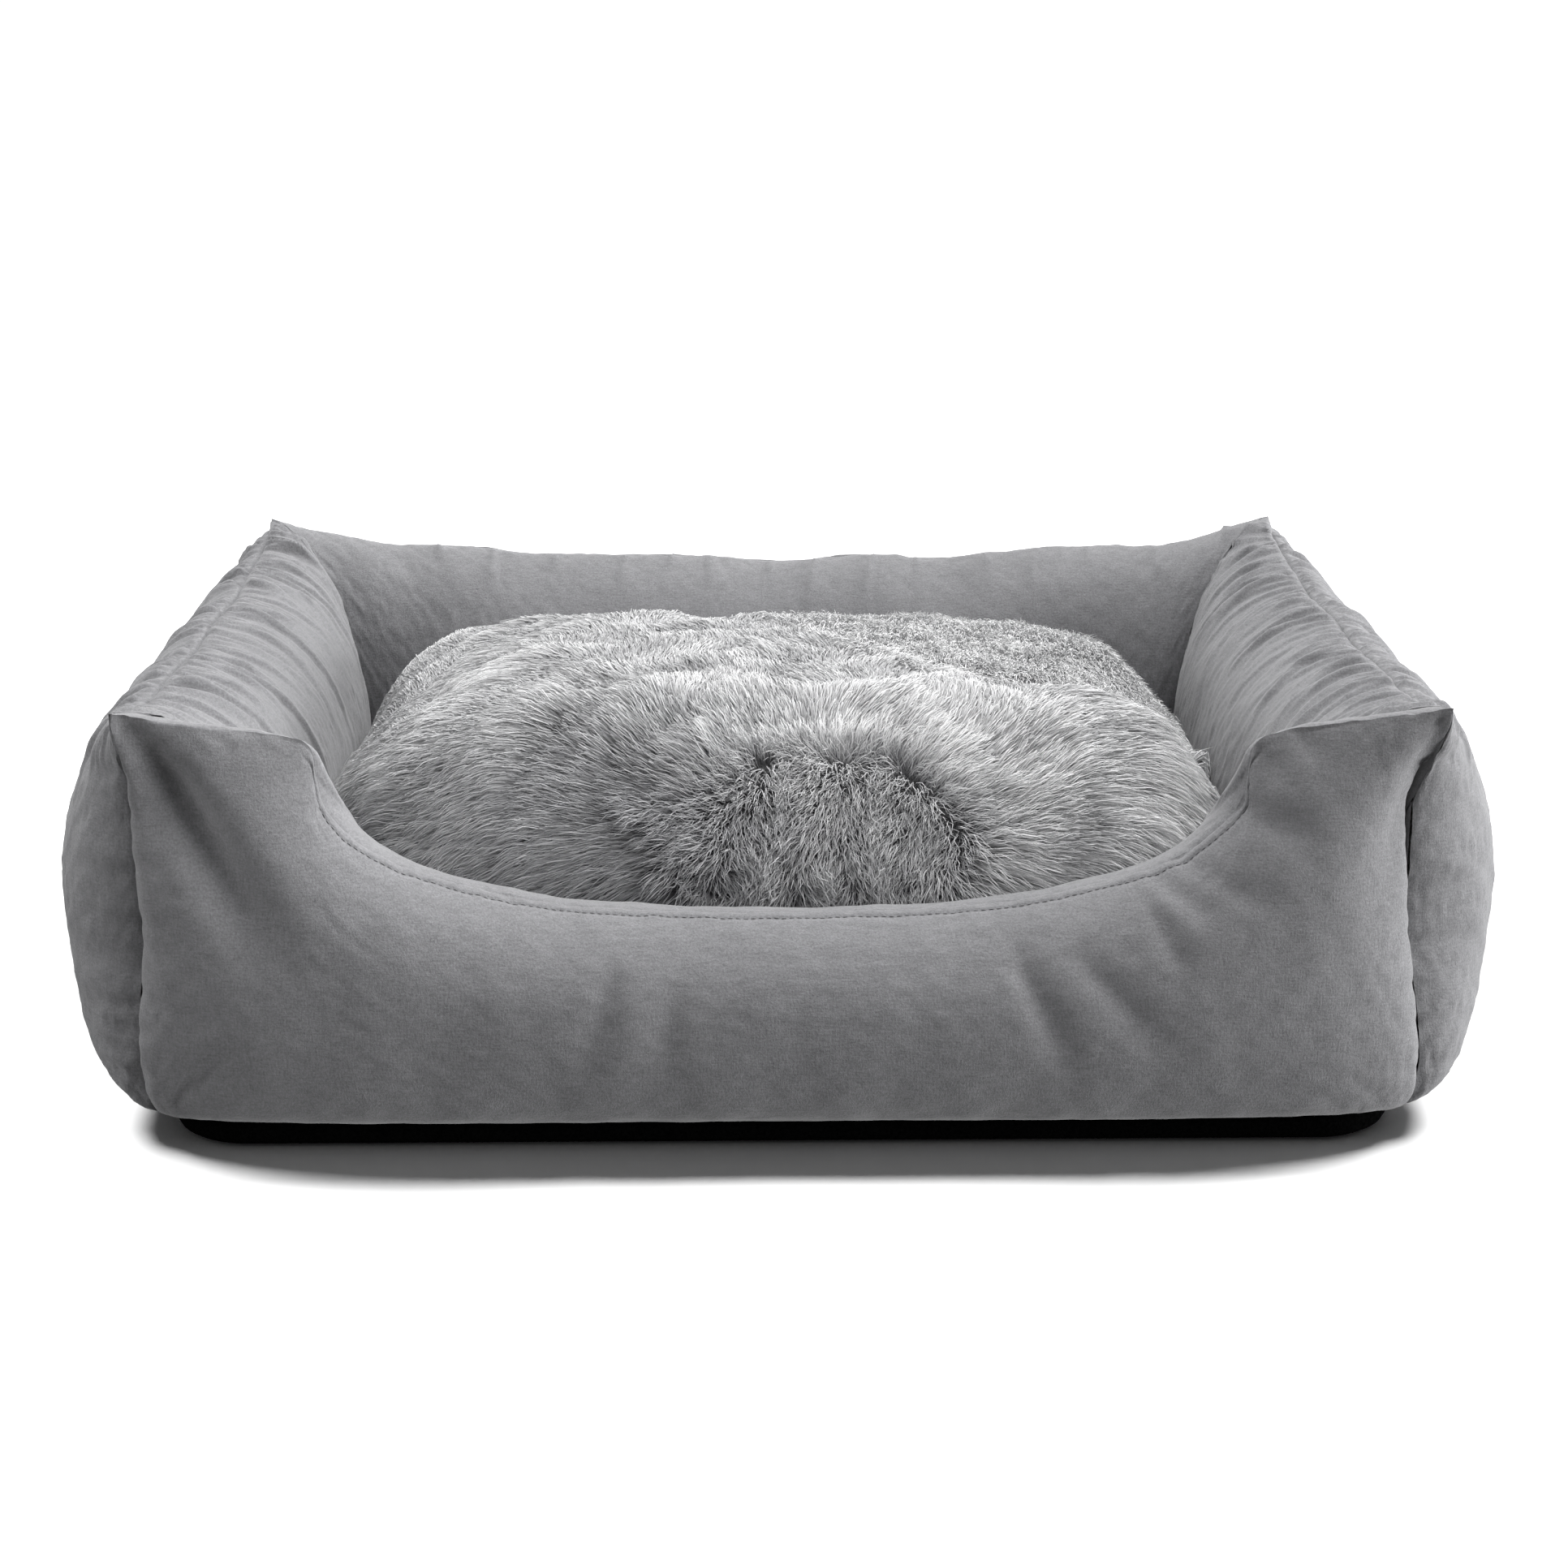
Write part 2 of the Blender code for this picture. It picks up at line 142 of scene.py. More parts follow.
# %% Surround, lights and floor
FILL_STRENGTH = 0.10        # what the surround lends the bed
SEEN_STRENGTH = 1.05        # what the camera sees of it: paper white
WHITE = (1.0, 1.0, 1.0, 1.0)
world = bpy.data.worlds.new("studio")
scene.world = world
world.use_nodes = True
world.node_tree.nodes.clear()
path = add_node(world.node_tree, "LightPath")
dim = add_node(world.node_tree, "Background",
               {"Color": WHITE, "Strength": FILL_STRENGTH})
white = add_node(world.node_tree, "Background", {"Color": WHITE, "Strength": SEEN_STRENGTH})
mix = add_node(world.node_tree, "MixShader", None,
               {0: path.outputs["Is Camera Ray"], 1: dim.outputs[0], 2: white.outputs[0]})
add_node(world.node_tree, "OutputWorld", None, {"Surface": mix.outputs[0]})


def soft_sun(name, direction, spread, strength):
    """A far, even light from a direction, softened over an angle in degrees."""
    data = bpy.data.lights.new(name, "SUN")
    data.angle = math.radians(spread)
    data.energy = strength
    light = bpy.data.objects.new(name, data)
    light.rotation_euler = (-Vector(direction)).to_track_quat("-Z", "Y").to_euler()
    scene.collection.objects.link(light)
    return light


bed_lights = [soft_sun("overhead", (0.20, 0.24, 1.0), 60.0, 5.0),
              soft_sun("from_the_front", (0.30, -1.0, 0.45), 44.0, 0.30),
              soft_sun("from_the_right", (1.0, -0.16, 0.02), 40.0, 5.6),
              soft_sun("from_the_left", (-1.0, -0.12, 0.20), 44.0, 1.95),
              soft_sun("from_behind", (0.0, 1.0, 0.10), 50.0, 1.2)]
floor_washes = [soft_sun("floor_wash_left", (-0.60, 0.34, 1.0), 18.0, 4.2),
                soft_sun("floor_wash_right", (0.60, 0.34, 1.0), 18.0, 4.2)]

FLOOR_REACH = 9.0
floor_mesh = bpy.data.meshes.new("studio_floor")
floor_mesh.from_pydata([(x * FLOOR_REACH, y * FLOOR_REACH, 0)
                        for x, y in ((-1, -1), (1, -1), (1, 1), (-1, 1))], [], [(0, 1, 2, 3)])
floor = bpy.data.objects.new("studio_floor", floor_mesh)
scene.collection.objects.link(floor)
floor.location.z = -0.0005
floor.visible_diffuse = False
floor.visible_shadow = False
paper = bpy.data.materials.new("matt_white_paper")
paper.use_nodes = True
paper_shader = paper.node_tree.nodes["Principled BSDF"]
paper_shader.inputs["Base Color"].default_value = linear("#FAFAFA")
paper_shader.inputs["Roughness"].default_value = 1.0
paper_shader.inputs["Specular IOR Level"].default_value = 0.0
floor_mesh.materials.append(paper)

for name, lights, state in (("off_the_floor", bed_lights, "EXCLUDE"),
                            ("only_the_floor", floor_washes, "INCLUDE")):
    receivers = bpy.data.collections.new(name)
    receivers.objects.link(floor)
    receivers.collection_objects[0].light_linking.link_state = state
    for light in lights:
        light.light_linking.receiver_collection = receivers
print("floor and", len(bed_lights) + len(floor_washes), "lights")

# %% [markdown]
# ## The upholstery cloth
#
# The walls are a brushed melange weave: polyester yarn spun from light and dark grey
# fibres, woven plain and then raised with wire brushes into a short, matt nap. That gives
# the eye a heathered grey with a fine grain, faint lines of yarn, and a pale rim of fibre
# where the cloth turns away. The real yarns lie about 0.6 mm apart; the grain is drawn at
# 1 to 2 mm so that it shows. It is made with object coordinates, which need no unwrapping.

# %% Brushed melange weave
MIX_FACTOR, MIX_A, MIX_B, MIX_OUT = 0, 6, 7, 2
PER_METRE = 1000.0          # one pattern cell per millimetre


def new_material(name, roughness, sheen=0.0):
    """A material with its shader's own constants set, and its tree."""
    material = bpy.data.materials.new(name)
    material.use_nodes = True
    shader = material.node_tree.nodes["Principled BSDF"]
    shader.inputs["Roughness"].default_value = roughness
    shader.inputs["IOR"].default_value = 1.5
    shader.inputs["Specular IOR Level"].default_value = 0.15
    shader.inputs["Sheen Weight"].default_value = sheen
    shader.inputs["Sheen Roughness"].default_value = 0.45
    return material, material.node_tree, shader


def woven_cloth(name, dark, light, grain_mm, yarn_mm, roughness, sheen, relief):
    """Heathered woven cloth: fibre grain, crossed yarn streaks and slow nap changes."""
    material, tree, shader = new_material(name, roughness, sheen)
    place = add_node(tree, "TexCoord").outputs["Object"]
    grain = add_node(tree, "TexNoise", {"Scale": PER_METRE / grain_mm, "Detail": 4.0,
                                        "Roughness": 0.7}, {"Vector": place})
    upright = add_node(tree, "Mapping", {"Scale": (1.0, 1.0, 0.16)}, {"Vector": place})
    warp = add_node(tree, "TexNoise", {"Scale": PER_METRE / yarn_mm, "Detail": 2.0},
                    {"Vector": upright.outputs[0]})
    level = add_node(tree, "Mapping", {"Scale": (0.16, 0.16, 1.0)}, {"Vector": place})
    weft = add_node(tree, "TexNoise", {"Scale": PER_METRE / yarn_mm, "Detail": 2.0},
                    {"Vector": level.outputs[0]})
    nap = add_node(tree, "TexNoise", {"Scale": 16.0, "Detail": 3.0, "Roughness": 0.55},
                   {"Vector": place})
    yarns = add_node(tree, "Math", {"operation": "ADD"},
                     {0: warp.outputs["Fac"], 1: weft.outputs["Fac"]})
    spread = add_node(tree, "MapRange", {"From Min": 0.62, "From Max": 1.38},
                      {"Value": yarns.outputs[0]})
    fibres = add_node(tree, "MapRange", {"From Min": 0.30, "From Max": 0.70},
                      {"Value": grain.outputs["Fac"]})
    share = add_node(tree, "Math", {"operation": "MULTIPLY", 1: 0.42}, {0: spread.outputs[0]})
    blend = add_node(tree, "Math", {"operation": "MULTIPLY_ADD", 1: 0.58},
                     {0: fibres.outputs[0], 2: share.outputs[0]})
    slow = add_node(tree, "MapRange", {"From Min": 0.3, "From Max": 0.7, "To Min": -0.06,
                                       "To Max": 0.06}, {"Value": nap.outputs["Fac"]})
    total = add_node(tree, "Math", {"operation": "ADD", "use_clamp": True},
                     {0: blend.outputs[0], 1: slow.outputs[0]})
    colour = add_node(tree, "Mix", {"data_type": "RGBA", MIX_A: linear(dark),
                                    MIX_B: linear(light)}, {MIX_FACTOR: total.outputs[0]})
    bump = add_node(tree, "Bump", {"Strength": relief, "Distance": 0.0005},
                    {"Height": blend.outputs[0]})
    tree.links.new(colour.outputs[MIX_OUT], shader.inputs["Base Color"])
    tree.links.new(bump.outputs[0], shader.inputs["Normal"])
    return material


melange = woven_cloth("brushed_melange_weave", "#616163", "#8D8D8F", 1.3, 1.1, 0.92, 0.25, 0.55)
lining = woven_cloth("plain_polycotton_lining", "#6E6E70", "#8A8A8C", 0.9, 0.8, 0.88, 0.1, 0.5)
print("cloths:", melange.name, lining.name)

# %% [markdown]
# ## Base cloth, foam, wadding and thread
#
# The base is covered in black spunbond polyester: fibres heat-bonded in a felt, so it is
# deep black with only a dull, slightly patchy shine. Inside are a sheet of foam board and
# carded polyester wadding. Both are hidden at rest, but each still gets its own finish.
# Sewing thread is a twisted filament polyester, a little shinier than the cloth.

# %% Black spunbond, foam, wadding, thread
def mottled(name, dark, light, cell_mm, roughness, relief, sheen=0.0):
    """Two close colours mixed by a grain of the given size, with matching relief."""
    material, tree, shader = new_material(name, roughness, sheen)
    place = add_node(tree, "TexCoord").outputs["Object"]
    grain = add_node(tree, "TexNoise", {"Scale": PER_METRE / cell_mm, "Detail": 5.0,
                                        "Roughness": 0.65}, {"Vector": place})
    spread = add_node(tree, "MapRange", {"From Min": 0.33, "From Max": 0.67},
                      {"Value": grain.outputs["Fac"]})
    colour = add_node(tree, "Mix", {"data_type": "RGBA", MIX_A: linear(dark),
                                    MIX_B: linear(light)}, {MIX_FACTOR: spread.outputs[0]})
    rough = add_node(tree, "MapRange", {"To Min": max(roughness - 0.12, 0.0),
                                        "To Max": roughness}, {"Value": spread.outputs[0]})
    bump = add_node(tree, "Bump", {"Strength": relief, "Distance": cell_mm / 3000},
                    {"Height": grain.outputs["Fac"]})
    tree.links.new(colour.outputs[MIX_OUT], shader.inputs["Base Color"])
    tree.links.new(rough.outputs[0], shader.inputs["Roughness"])
    tree.links.new(bump.outputs[0], shader.inputs["Normal"])
    return material


spunbond = mottled("black_spunbond_polyester", "#020202", "#080808", 2.2, 0.98, 0.5)
spunbond.node_tree.nodes["Principled BSDF"].inputs["Specular IOR Level"].default_value = 0.0
foam = mottled("polyurethane_foam_board", "#C9C2A6", "#DDD7C2", 1.2, 1.0, 0.8)
wadding = mottled("carded_polyester_wadding", "#D8D8D5", "#F4F4F2", 6.0, 1.0, 0.9, 0.3)
thread = mottled("twisted_polyester_thread", "#5C5C5E", "#88888A", 0.5, 0.6, 0.3)
backing = mottled("knitted_fur_backing", "#4A4A4B", "#747475", 1.5, 0.95, 0.7)
nylon = mottled("moulded_nylon_coil", "#3C3C3E", "#505052", 0.8, 0.45, 0.1)
tape_weave = woven_cloth("woven_zip_tape", "#4B4B4D", "#606062", 0.6, 0.7, 0.8, 0.05, 0.6)

zinc, zinc_tree, zinc_shader = new_material("tumbled_zinc_casting", 0.38)
zinc_shader.inputs["Metallic"].default_value = 1.0
zinc_shader.inputs["Specular IOR Level"].default_value = 0.5
zinc_place = add_node(zinc_tree, "TexCoord").outputs["Object"]
zinc_wear = add_node(zinc_tree, "TexNoise", {"Scale": 900.0, "Detail": 4.0},
                     {"Vector": zinc_place})
zinc_colour = add_node(zinc_tree, "Mix", {"data_type": "RGBA", MIX_A: linear("#8B8B8E"),
                                          MIX_B: linear("#B9B9BC")},
                       {MIX_FACTOR: zinc_wear.outputs["Fac"]})
zinc_rough = add_node(zinc_tree, "MapRange", {"To Min": 0.28, "To Max": 0.5},
                      {"Value": zinc_wear.outputs["Fac"]})
zinc_tree.links.new(zinc_colour.outputs[MIX_OUT], zinc_shader.inputs["Base Color"])
zinc_tree.links.new(zinc_rough.outputs[0], zinc_shader.inputs["Roughness"])
print(len(bpy.data.materials), "materials so far")

# %% [markdown]
# ## Long fur pile
#
# The cushion's top is a sliver-knit acrylic fur: soft filament, crimped a little, dark at
# the root and silvery at the tip. Every tuft is real geometry here, a narrow ribbon. Its
# texture map has one use: across it runs the tuft's own tint, with painted shade in places,
# and up it runs root to tip.

# %% Acrylic fur fibre
pile, pile_tree, pile_shader = new_material("silver_tipped_acrylic_pile", 0.62, 0.35)
tuft_map = add_node(pile_tree, "UVMap", {"uv_map": "OFBake"})
tuft = add_node(pile_tree, "SeparateXYZ", None, {0: tuft_map.outputs[0]})
up_the_tuft = add_node(pile_tree, "MapRange", {"From Min": 0.0, "From Max": 0.95,
                                               "interpolation_type": "SMOOTHSTEP"},
                       {"Value": tuft.outputs["Y"]})
dark_tuft = add_node(pile_tree, "Mix", {"data_type": "RGBA", MIX_A: linear("#48484A"),
                                        MIX_B: linear("#B4B4B6")},
                     {MIX_FACTOR: up_the_tuft.outputs[0]})
light_tuft = add_node(pile_tree, "Mix", {"data_type": "RGBA", MIX_A: linear("#A6A6A8"),
                                         MIX_B: linear("#F3F3F3")},
                      {MIX_FACTOR: up_the_tuft.outputs[0]})
pile_colour = add_node(pile_tree, "Mix", {"data_type": "RGBA"},
                       {MIX_FACTOR: tuft.outputs["X"], MIX_A: dark_tuft.outputs[MIX_OUT],
                        MIX_B: light_tuft.outputs[MIX_OUT]})
pile_tree.links.new(pile_colour.outputs[MIX_OUT], pile_shader.inputs["Base Color"])
print("fur material ready")

# %% [markdown]
# ## Mesh helpers
#
# A stuffed wall is easiest to think of as a net: stations along the wall, and rows from
# its outer foot over the top seam to its inner foot. A net is a plain array of points, so
# it can be bent, simulated and refined, and only at the end does it become a mesh.

# %% From a net of points to a piece
def net_faces(stations, rows, closed=False):
    """Quads between neighbouring stations and rows."""
    across = rows if closed else rows - 1
    i, j = np.meshgrid(np.arange(stations - 1), np.arange(across), indexing="ij")
    a = (i * rows + j).ravel()
    b = (i * rows + (j + 1) % rows).ravel()
    return np.stack([a, a + rows, b + rows, b], 1)


def tube_faces(stations, rows, flipped=False):
    """The quads of a closed net, and a cap on each end."""
    first = list(range(rows))
    last = list(range((stations - 1) * rows, stations * rows))
    caps = [first[::-1], last] if flipped else [first, last[::-1]]
    return net_faces(stations, rows, closed=True).tolist() + caps


def show(name, mesh, material, body):
    """A smooth-shaded object made of a mesh, which rides on a CAD body."""
    mesh.shade_smooth()
    mesh.materials.clear()
    mesh.materials.append(material)
    piece = bpy.data.objects.new(name, mesh)
    scene.collection.objects.link(piece)
    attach(piece, body)
    return piece


def make_piece(name, points, faces, material, body):
    """A piece made of points and faces."""
    mesh = bpy.data.meshes.new(name)
    faces = faces.tolist() if isinstance(faces, np.ndarray) else faces
    mesh.from_pydata(np.asarray(points, float).reshape(-1, 3).tolist(), [], faces)
    mesh.update()
    return show(name, mesh, material, body)


print("a net can become a piece")


# %% Pieces and CAD nodes, points and directions
def stands_for(piece, *nodes):
    """Hide the CAD nodes that a piece is made for."""
    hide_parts(*nodes)


def points_of(mesh, what="co"):
    """A mesh's points, or its normals, as an array."""
    flat = np.empty(len(mesh.vertices) * 3)
    mesh.vertices.foreach_get(what, flat)
    return flat.reshape(-1, 3)


def worked_mesh(piece):
    """A new mesh with the piece's modifiers worked in."""
    evaluated = piece.evaluated_get(bpy.context.evaluated_depsgraph_get())
    return bpy.data.meshes.new_from_object(evaluated)


def unit(vectors):
    """Vectors of length 1 in the same directions."""
    return vectors / np.maximum(np.linalg.norm(vectors, axis=-1, keepdims=True), 1e-12)


print("modifiers can be worked in")


# %% Smoothness and unevenness
def net_normals(net):
    """Unit normals of a net, from its neighbours along and across."""
    return unit(np.cross(np.gradient(net, axis=0), np.gradient(net, axis=1)))


def smooth_between(net, count):
    """Catmull-Rom points through a net's first axis, `count` of them, evenly spaced."""
    at = np.linspace(0, len(net) - 1, count)
    i = np.clip(at.astype(int), 0, len(net) - 2)
    f = (at - i)[:, None, None]
    before, a = net[np.clip(i - 1, 0, None)], net[i]
    b, after = net[i + 1], net[np.clip(i + 2, None, len(net) - 1)]
    return a + 0.5 * f * (b - before + f * (2 * before - 5 * a + 4 * b - after
                                            + f * (3 * (a - b) + after - before)))


def ripple(x, y, wavelength, waves, seed):
    """Soft seeded unevenness about 1 high, from a few sine waves in random directions."""
    source = np.random.default_rng(seed)
    total = np.zeros(np.broadcast(x, y).shape)
    for _ in range(waves):
        angle = source.uniform(0, 2 * math.pi)
        length = wavelength * source.uniform(0.6, 1.7)
        phase = source.uniform(0, 2 * math.pi)
        total += np.sin((x * math.cos(angle) + y * math.sin(angle)) * 2 * math.pi / length
                        + phase)
    return total / math.sqrt(waves)


def rise_over(x, low, high):
    """0 below low, 1 above high, with a smooth turn between."""
    share = np.clip((x - low) / (high - low), 0, 1)
    return share * share * (3 - 2 * share)


print("helpers ready")

# %% [markdown]
# ## The walls' pattern
#
# Each wall's section is two arcs that meet in the top seam: a full one outside and a
# steeper one inside. The swelling dies away quickly at the mitres, which gives the pinched
# corners. The front wall's top line dips into a rounded scoop between two blunt horns.

# %% Lines by their length
def along(points, distances):
    """Points of a line at the given distances from its start."""
    steps = np.linalg.norm(np.diff(points, axis=0), axis=1)
    length = np.concatenate([[0], np.cumsum(steps)])
    return np.stack([np.interp(distances, length, points[:, k])
                     for k in range(points.shape[1])], 1)


def line_length(points):
    """The length of a line through the points."""
    return float(np.linalg.norm(np.diff(points, axis=0), axis=1).sum())


print("a 3-4-5 triangle's long side:", line_length(np.array([(0, 0), (3, 4)])))

# %% Top line of each wall
HORN_ROUND = 0.010          # rounding where the horn's top turns down into the scoop
HORN_DROP = 0.003           # how much lower the top line starts at the scoop
HORN_FOOT = HORN_HEIGHT - HORN_DROP - HORN_ROUND


def dent(x, middle, half):
    """A soft dip 1 deep at the middle and gone at half a width away."""
    return np.clip(1 - ((x - middle) / half) ** 2, 0, 1) ** 2


def scooped_top(s):
    """The front wall's top line: the scoop, then the horns rising to the peaks."""
    share = abs(s) / SCOOP_HALF
    if share < 1:
        dip = (1 - share ** SCOOP_POWER) ** (1 / SCOOP_POWER)
        return HORN_FOOT - (HORN_FOOT - SCOOP_HEIGHT) * dip
    past = abs(s) - SCOOP_HALF
    rising = (past / (PEAK_X - SCOOP_HALF)) ** 0.9
    plain = HORN_HEIGHT + (PEAK_HEIGHT - HORN_HEIGHT) * rising - HORN_DROP * (1 - rising) ** 2
    short = max(HORN_ROUND - past, 0)
    return plain - HORN_ROUND + math.sqrt(HORN_ROUND ** 2 - short ** 2)


REAR_DENTS = [(0.0045, 0.010, 0.060), (0.0070, 0.315, 0.062), (0.0030, 0.130, 0.040),
              (-0.0015, 0.215, 0.030), (0.0025, -0.300, 0.040), (-0.0020, -0.240, 0.050)]


def rear_top(s):
    """The rear wall sags between its seams, more to the right of the middle."""
    plain = REAR_HEIGHT + (PEAK_HEIGHT - REAR_HEIGHT) * abs(s / PEAK_X) ** 3.3
    return plain - sum(deep * dent(s, middle, half) for deep, middle, half in REAR_DENTS)


def side_top(s):
    """A side wall's top line sinks between its seams, with a slow wave."""
    wave = 0.0015 * math.sin(s * 41) * (1 - (s / PEAK_Y) ** 2)
    return SIDE_HEIGHT + (PEAK_HEIGHT - SIDE_HEIGHT) * abs(s / PEAK_Y) ** 4 + wave


WALLS = {
    "front": {"half": PEAK_X, "away": PEAK_Y, "bulge": END_BULGE, "widest": 0.085,
              "foot": -0.002, "top": scooped_top},
    "rear": {"half": PEAK_X, "away": PEAK_Y, "bulge": END_BULGE, "widest": 0.130,
             "foot": -0.002, "top": rear_top},
    "left": {"half": PEAK_Y, "away": PEAK_X, "bulge": SIDE_BULGE, "widest": 0.150,
             "foot": 0.019, "top": side_top},
    "right": {"half": PEAK_Y, "away": PEAK_X, "bulge": SIDE_BULGE, "widest": 0.150,
              "foot": 0.019, "top": side_top},
}


print("scoop from", round(scooped_top(0.0), 3), "to", round(scooped_top(SCOOP_HALF), 3))


# %% The scooped edge, and how near the cloth is to it
HORN_LEAN = 0.014           # how far the horns' tops lean in at the ends of the scoop
SCOOP_ROLL = 0.056          # the front panels turn over to the scooped seam within this


def swelling(t):
    """How much of its full swelling a wall has: 1 at mid length, none at the mitres."""
    return np.clip(1 - t ** 4, 0, 1) ** 0.38


def horn_lean(s):
    """How far inward the horn's top lies: most at the scoop, none at the peak."""
    out = np.clip((np.abs(s) - SCOOP_HALF) / (PEAK_X - SCOOP_HALF), 0, 1)
    return HORN_LEAN * (1 - out) ** 1.5


def scoop_edge():
    """The scooped seam as (along, up) points 1 mm apart, and how far inward each lies."""
    turn = np.linspace(0, math.pi / 2, 2001)
    corner = SCOOP_HALF + HORN_ROUND * (1 - np.cos(turn[40::40]))
    s = np.concatenate([SCOOP_HALF * np.sin(turn) ** (2 / SCOOP_POWER), corner])
    half = np.stack([s, [scooped_top(x) for x in s]], 1)
    line = np.concatenate([half[:0:-1] * (-1, 1), half])
    points = along(line, np.arange(0, line_length(line), 0.001))
    near_end = np.clip(np.abs(points[:, 0] / SCOOP_HALF), 0, 1) ** 6
    return points, SCOOP_SEAM_IN * (1 - near_end) + horn_lean(points[:, 0]) * near_end


EDGE_POINTS, EDGE_INWARD = scoop_edge()
EDGE_RUN = np.gradient(EDGE_POINTS, axis=0)
EDGE_RUN /= np.linalg.norm(EDGE_RUN, axis=1, keepdims=True)


def near_scoop(s, z):
    """0 at the scooped seam and 1 away from it, and how far inward the nearest seam lies."""
    off = np.stack([s, z], 1)[:, None] - EDGE_POINTS[None]
    nearest = (off ** 2).sum(2).argmin(1)
    off = off[np.arange(len(s)), nearest]
    run = EDGE_RUN[nearest]
    square_off = np.abs(off[:, 0] * run[:, 1] - off[:, 1] * run[:, 0])
    at_end = (nearest == 0) | (nearest == len(EDGE_POINTS) - 1)
    gap = np.where(at_end, np.linalg.norm(off, axis=1), square_off)
    x = np.clip(gap / SCOOP_ROLL, 0, 1)
    return (2 * x - x * x) ** 0.55, EDGE_INWARD[nearest]


print("scooped edge", round(line_length(EDGE_POINTS), 3), "m long")

# %% [markdown]
# A station is one section through a wall. The corner seams are drawn in at mid height, as
# a seam under tension is, and each wall is slid along so that it ends on its mitres. The
# stations are spaced by length of cloth, so that the simulation's mesh stays even where
# the top line falls into the scoop.

# %% A wall's section at one place
ROWS = 46                   # points from the seam down to the foot, on each side


def corner_waist(name, t):
    """How far a corner seam is drawn in at mid height; the front right one is drawn most."""
    front_right = (name == "front" and t > 0) or (name == "right" and t < 0)
    return 0.016 if front_right else 0.010


def station_lines(name, seam_t, foot_t):
    """Outer and inner lines at a station, as (station, inward, up) from seam to foot."""
    wall = WALLS[name]
    angle = np.linspace(math.pi / 2, -math.pi / 2, 400)
    rise = np.sin(angle)
    swell = np.clip(np.cos(angle), 0, 1)
    top = wall["top"](seam_t * wall["half"])
    mid_t = seam_t + (foot_t - seam_t) * 0.5
    widest = wall["widest"] + (CORNER_WIDEST - wall["widest"]) * mid_t ** 6
    widest = min(widest, top - SCOOP_ROLL)
    z = widest + np.where(rise >= 0, top - widest, widest - WALL_BOTTOM) * rise
    t = seam_t + (foot_t - seam_t) * (top - z) / (top - WALL_BOTTOM)
    share = swelling(t)
    foot = CORNER_FOOT + (wall["foot"] - CORNER_FOOT) * share
    depth = CORNER_DEPTH + (WALL_DEPTH - CORNER_DEPTH) * (1 - t * t)
    lines = []
    for reach, foot_u, pinch, bend, waist in (
            (-wall["bulge"] * share, foot, 1.3 * t ** 8, 0.70, corner_waist(name, seam_t)),
            (depth, INNER_FOOT, 0.0, 0.55, 0.0)):
        lower = foot_u + (reach - foot_u) * swell ** 0.62
        if name == "front":
            s = t * wall["half"]
            crown = np.maximum(np.array([scooped_top(x) for x in s]), HORN_HEIGHT)
            v = np.clip((z - widest) / (crown - widest), 0, 1)
            turned, inward = near_scoop(s, z)
            lean = horn_lean(s)
            plain = lean + (reach - lean) * (1 - v * v) ** (bend + pinch / 2)
            upper = inward + (plain - inward) * turned
        else:
            upper = reach * swell ** (1.1 + pinch)
        across = np.where(rise >= 0, upper, lower) + waist * t ** 12 * (
            rise_over(z, 0.02, 0.15) * (1 - rise_over(z, 0.205, 0.268)))
        lines.append(np.stack([t, across, z], 1))
    return lines


def ring(name, seam_t, foot_t):
    """One station of the net: outer foot, up over the seam, down to the inner foot."""
    shares = np.linspace(0, 1, ROWS)
    scale = np.array([WALLS[name]["half"], 1.0, 1.0])
    lines = [line * scale for line in station_lines(name, seam_t, foot_t)]
    outer, inner = [along(line, shares * line_length(line)) for line in lines]
    return np.concatenate([outer[::-1], inner[1:]])


section = ring("rear", 0.0, 0.0)
print("rear wall's section is", round(float(np.ptp(section[:, 1])), 3), "m thick")


# %% Sections placed along each wall
def to_world(name, s, u, z):
    """Along the wall, inward from the peaks and up, as a point in the shared frame."""
    away = WALLS[name]["away"]
    if name == "front":
        return np.stack([s, u - away, z], -1)
    if name == "rear":
        return np.stack([s, away - u, z], -1)
    if name == "left":
        return np.stack([u - away, s, z], -1)
    return np.stack([away - u, s, z], -1)


def place_ring(name, seam_t, foot_t, corner):
    """A station in the shared frame, slid along so that the wall ends on its mitres."""
    flat = ring(name, seam_t, foot_t)
    half = WALLS[name]["half"]
    t = flat[:, 0] / half
    s = t * (half - MITRE_GAP) - t ** 3 * corner[:, 1]
    return to_world(name, s, flat[:, 1], flat[:, 2])


def even_stations(name, spacing):
    """Stations evenly spaced over the cloth: along the seam, and along the foot."""
    wall = WALLS[name]
    t = np.linspace(0, 1, 3001)
    share = swelling(t)
    top = np.array([wall["top"](x * wall["half"]) for x in t])
    level = np.hypot(np.diff(t * wall["half"]), np.diff(wall["bulge"] * share))
    seam = np.hypot(level, np.diff(top))
    both = []
    for steps in (seam, level):
        length = np.concatenate([[0], np.cumsum(steps)])
        count = int(round(np.cumsum(seam)[-1] / spacing))
        right = np.interp(np.linspace(0, length[-1], count + 1), length, t)
        both.append(np.concatenate([-right[:0:-1], right]))
    return np.stack(both, 1)


def wall_net(name, spacing):
    """A wall's whole net, its stations the given spacing apart."""
    corners = {sign: ring(name, sign, sign) for sign in (-1.0, 1.0)}
    return np.array([place_ring(name, *pair, corners[math.copysign(1.0, pair[0])])
                     for pair in even_stations(name, spacing)])


STATION_SPACING = {"front": 0.0052, "rear": 0.0052, "left": 0.0044, "right": 0.0044}
nets = {name: wall_net(name, STATION_SPACING[name]) for name in WALLS}
print("nets:", {name: net.shape[:2] for name, net in nets.items()})

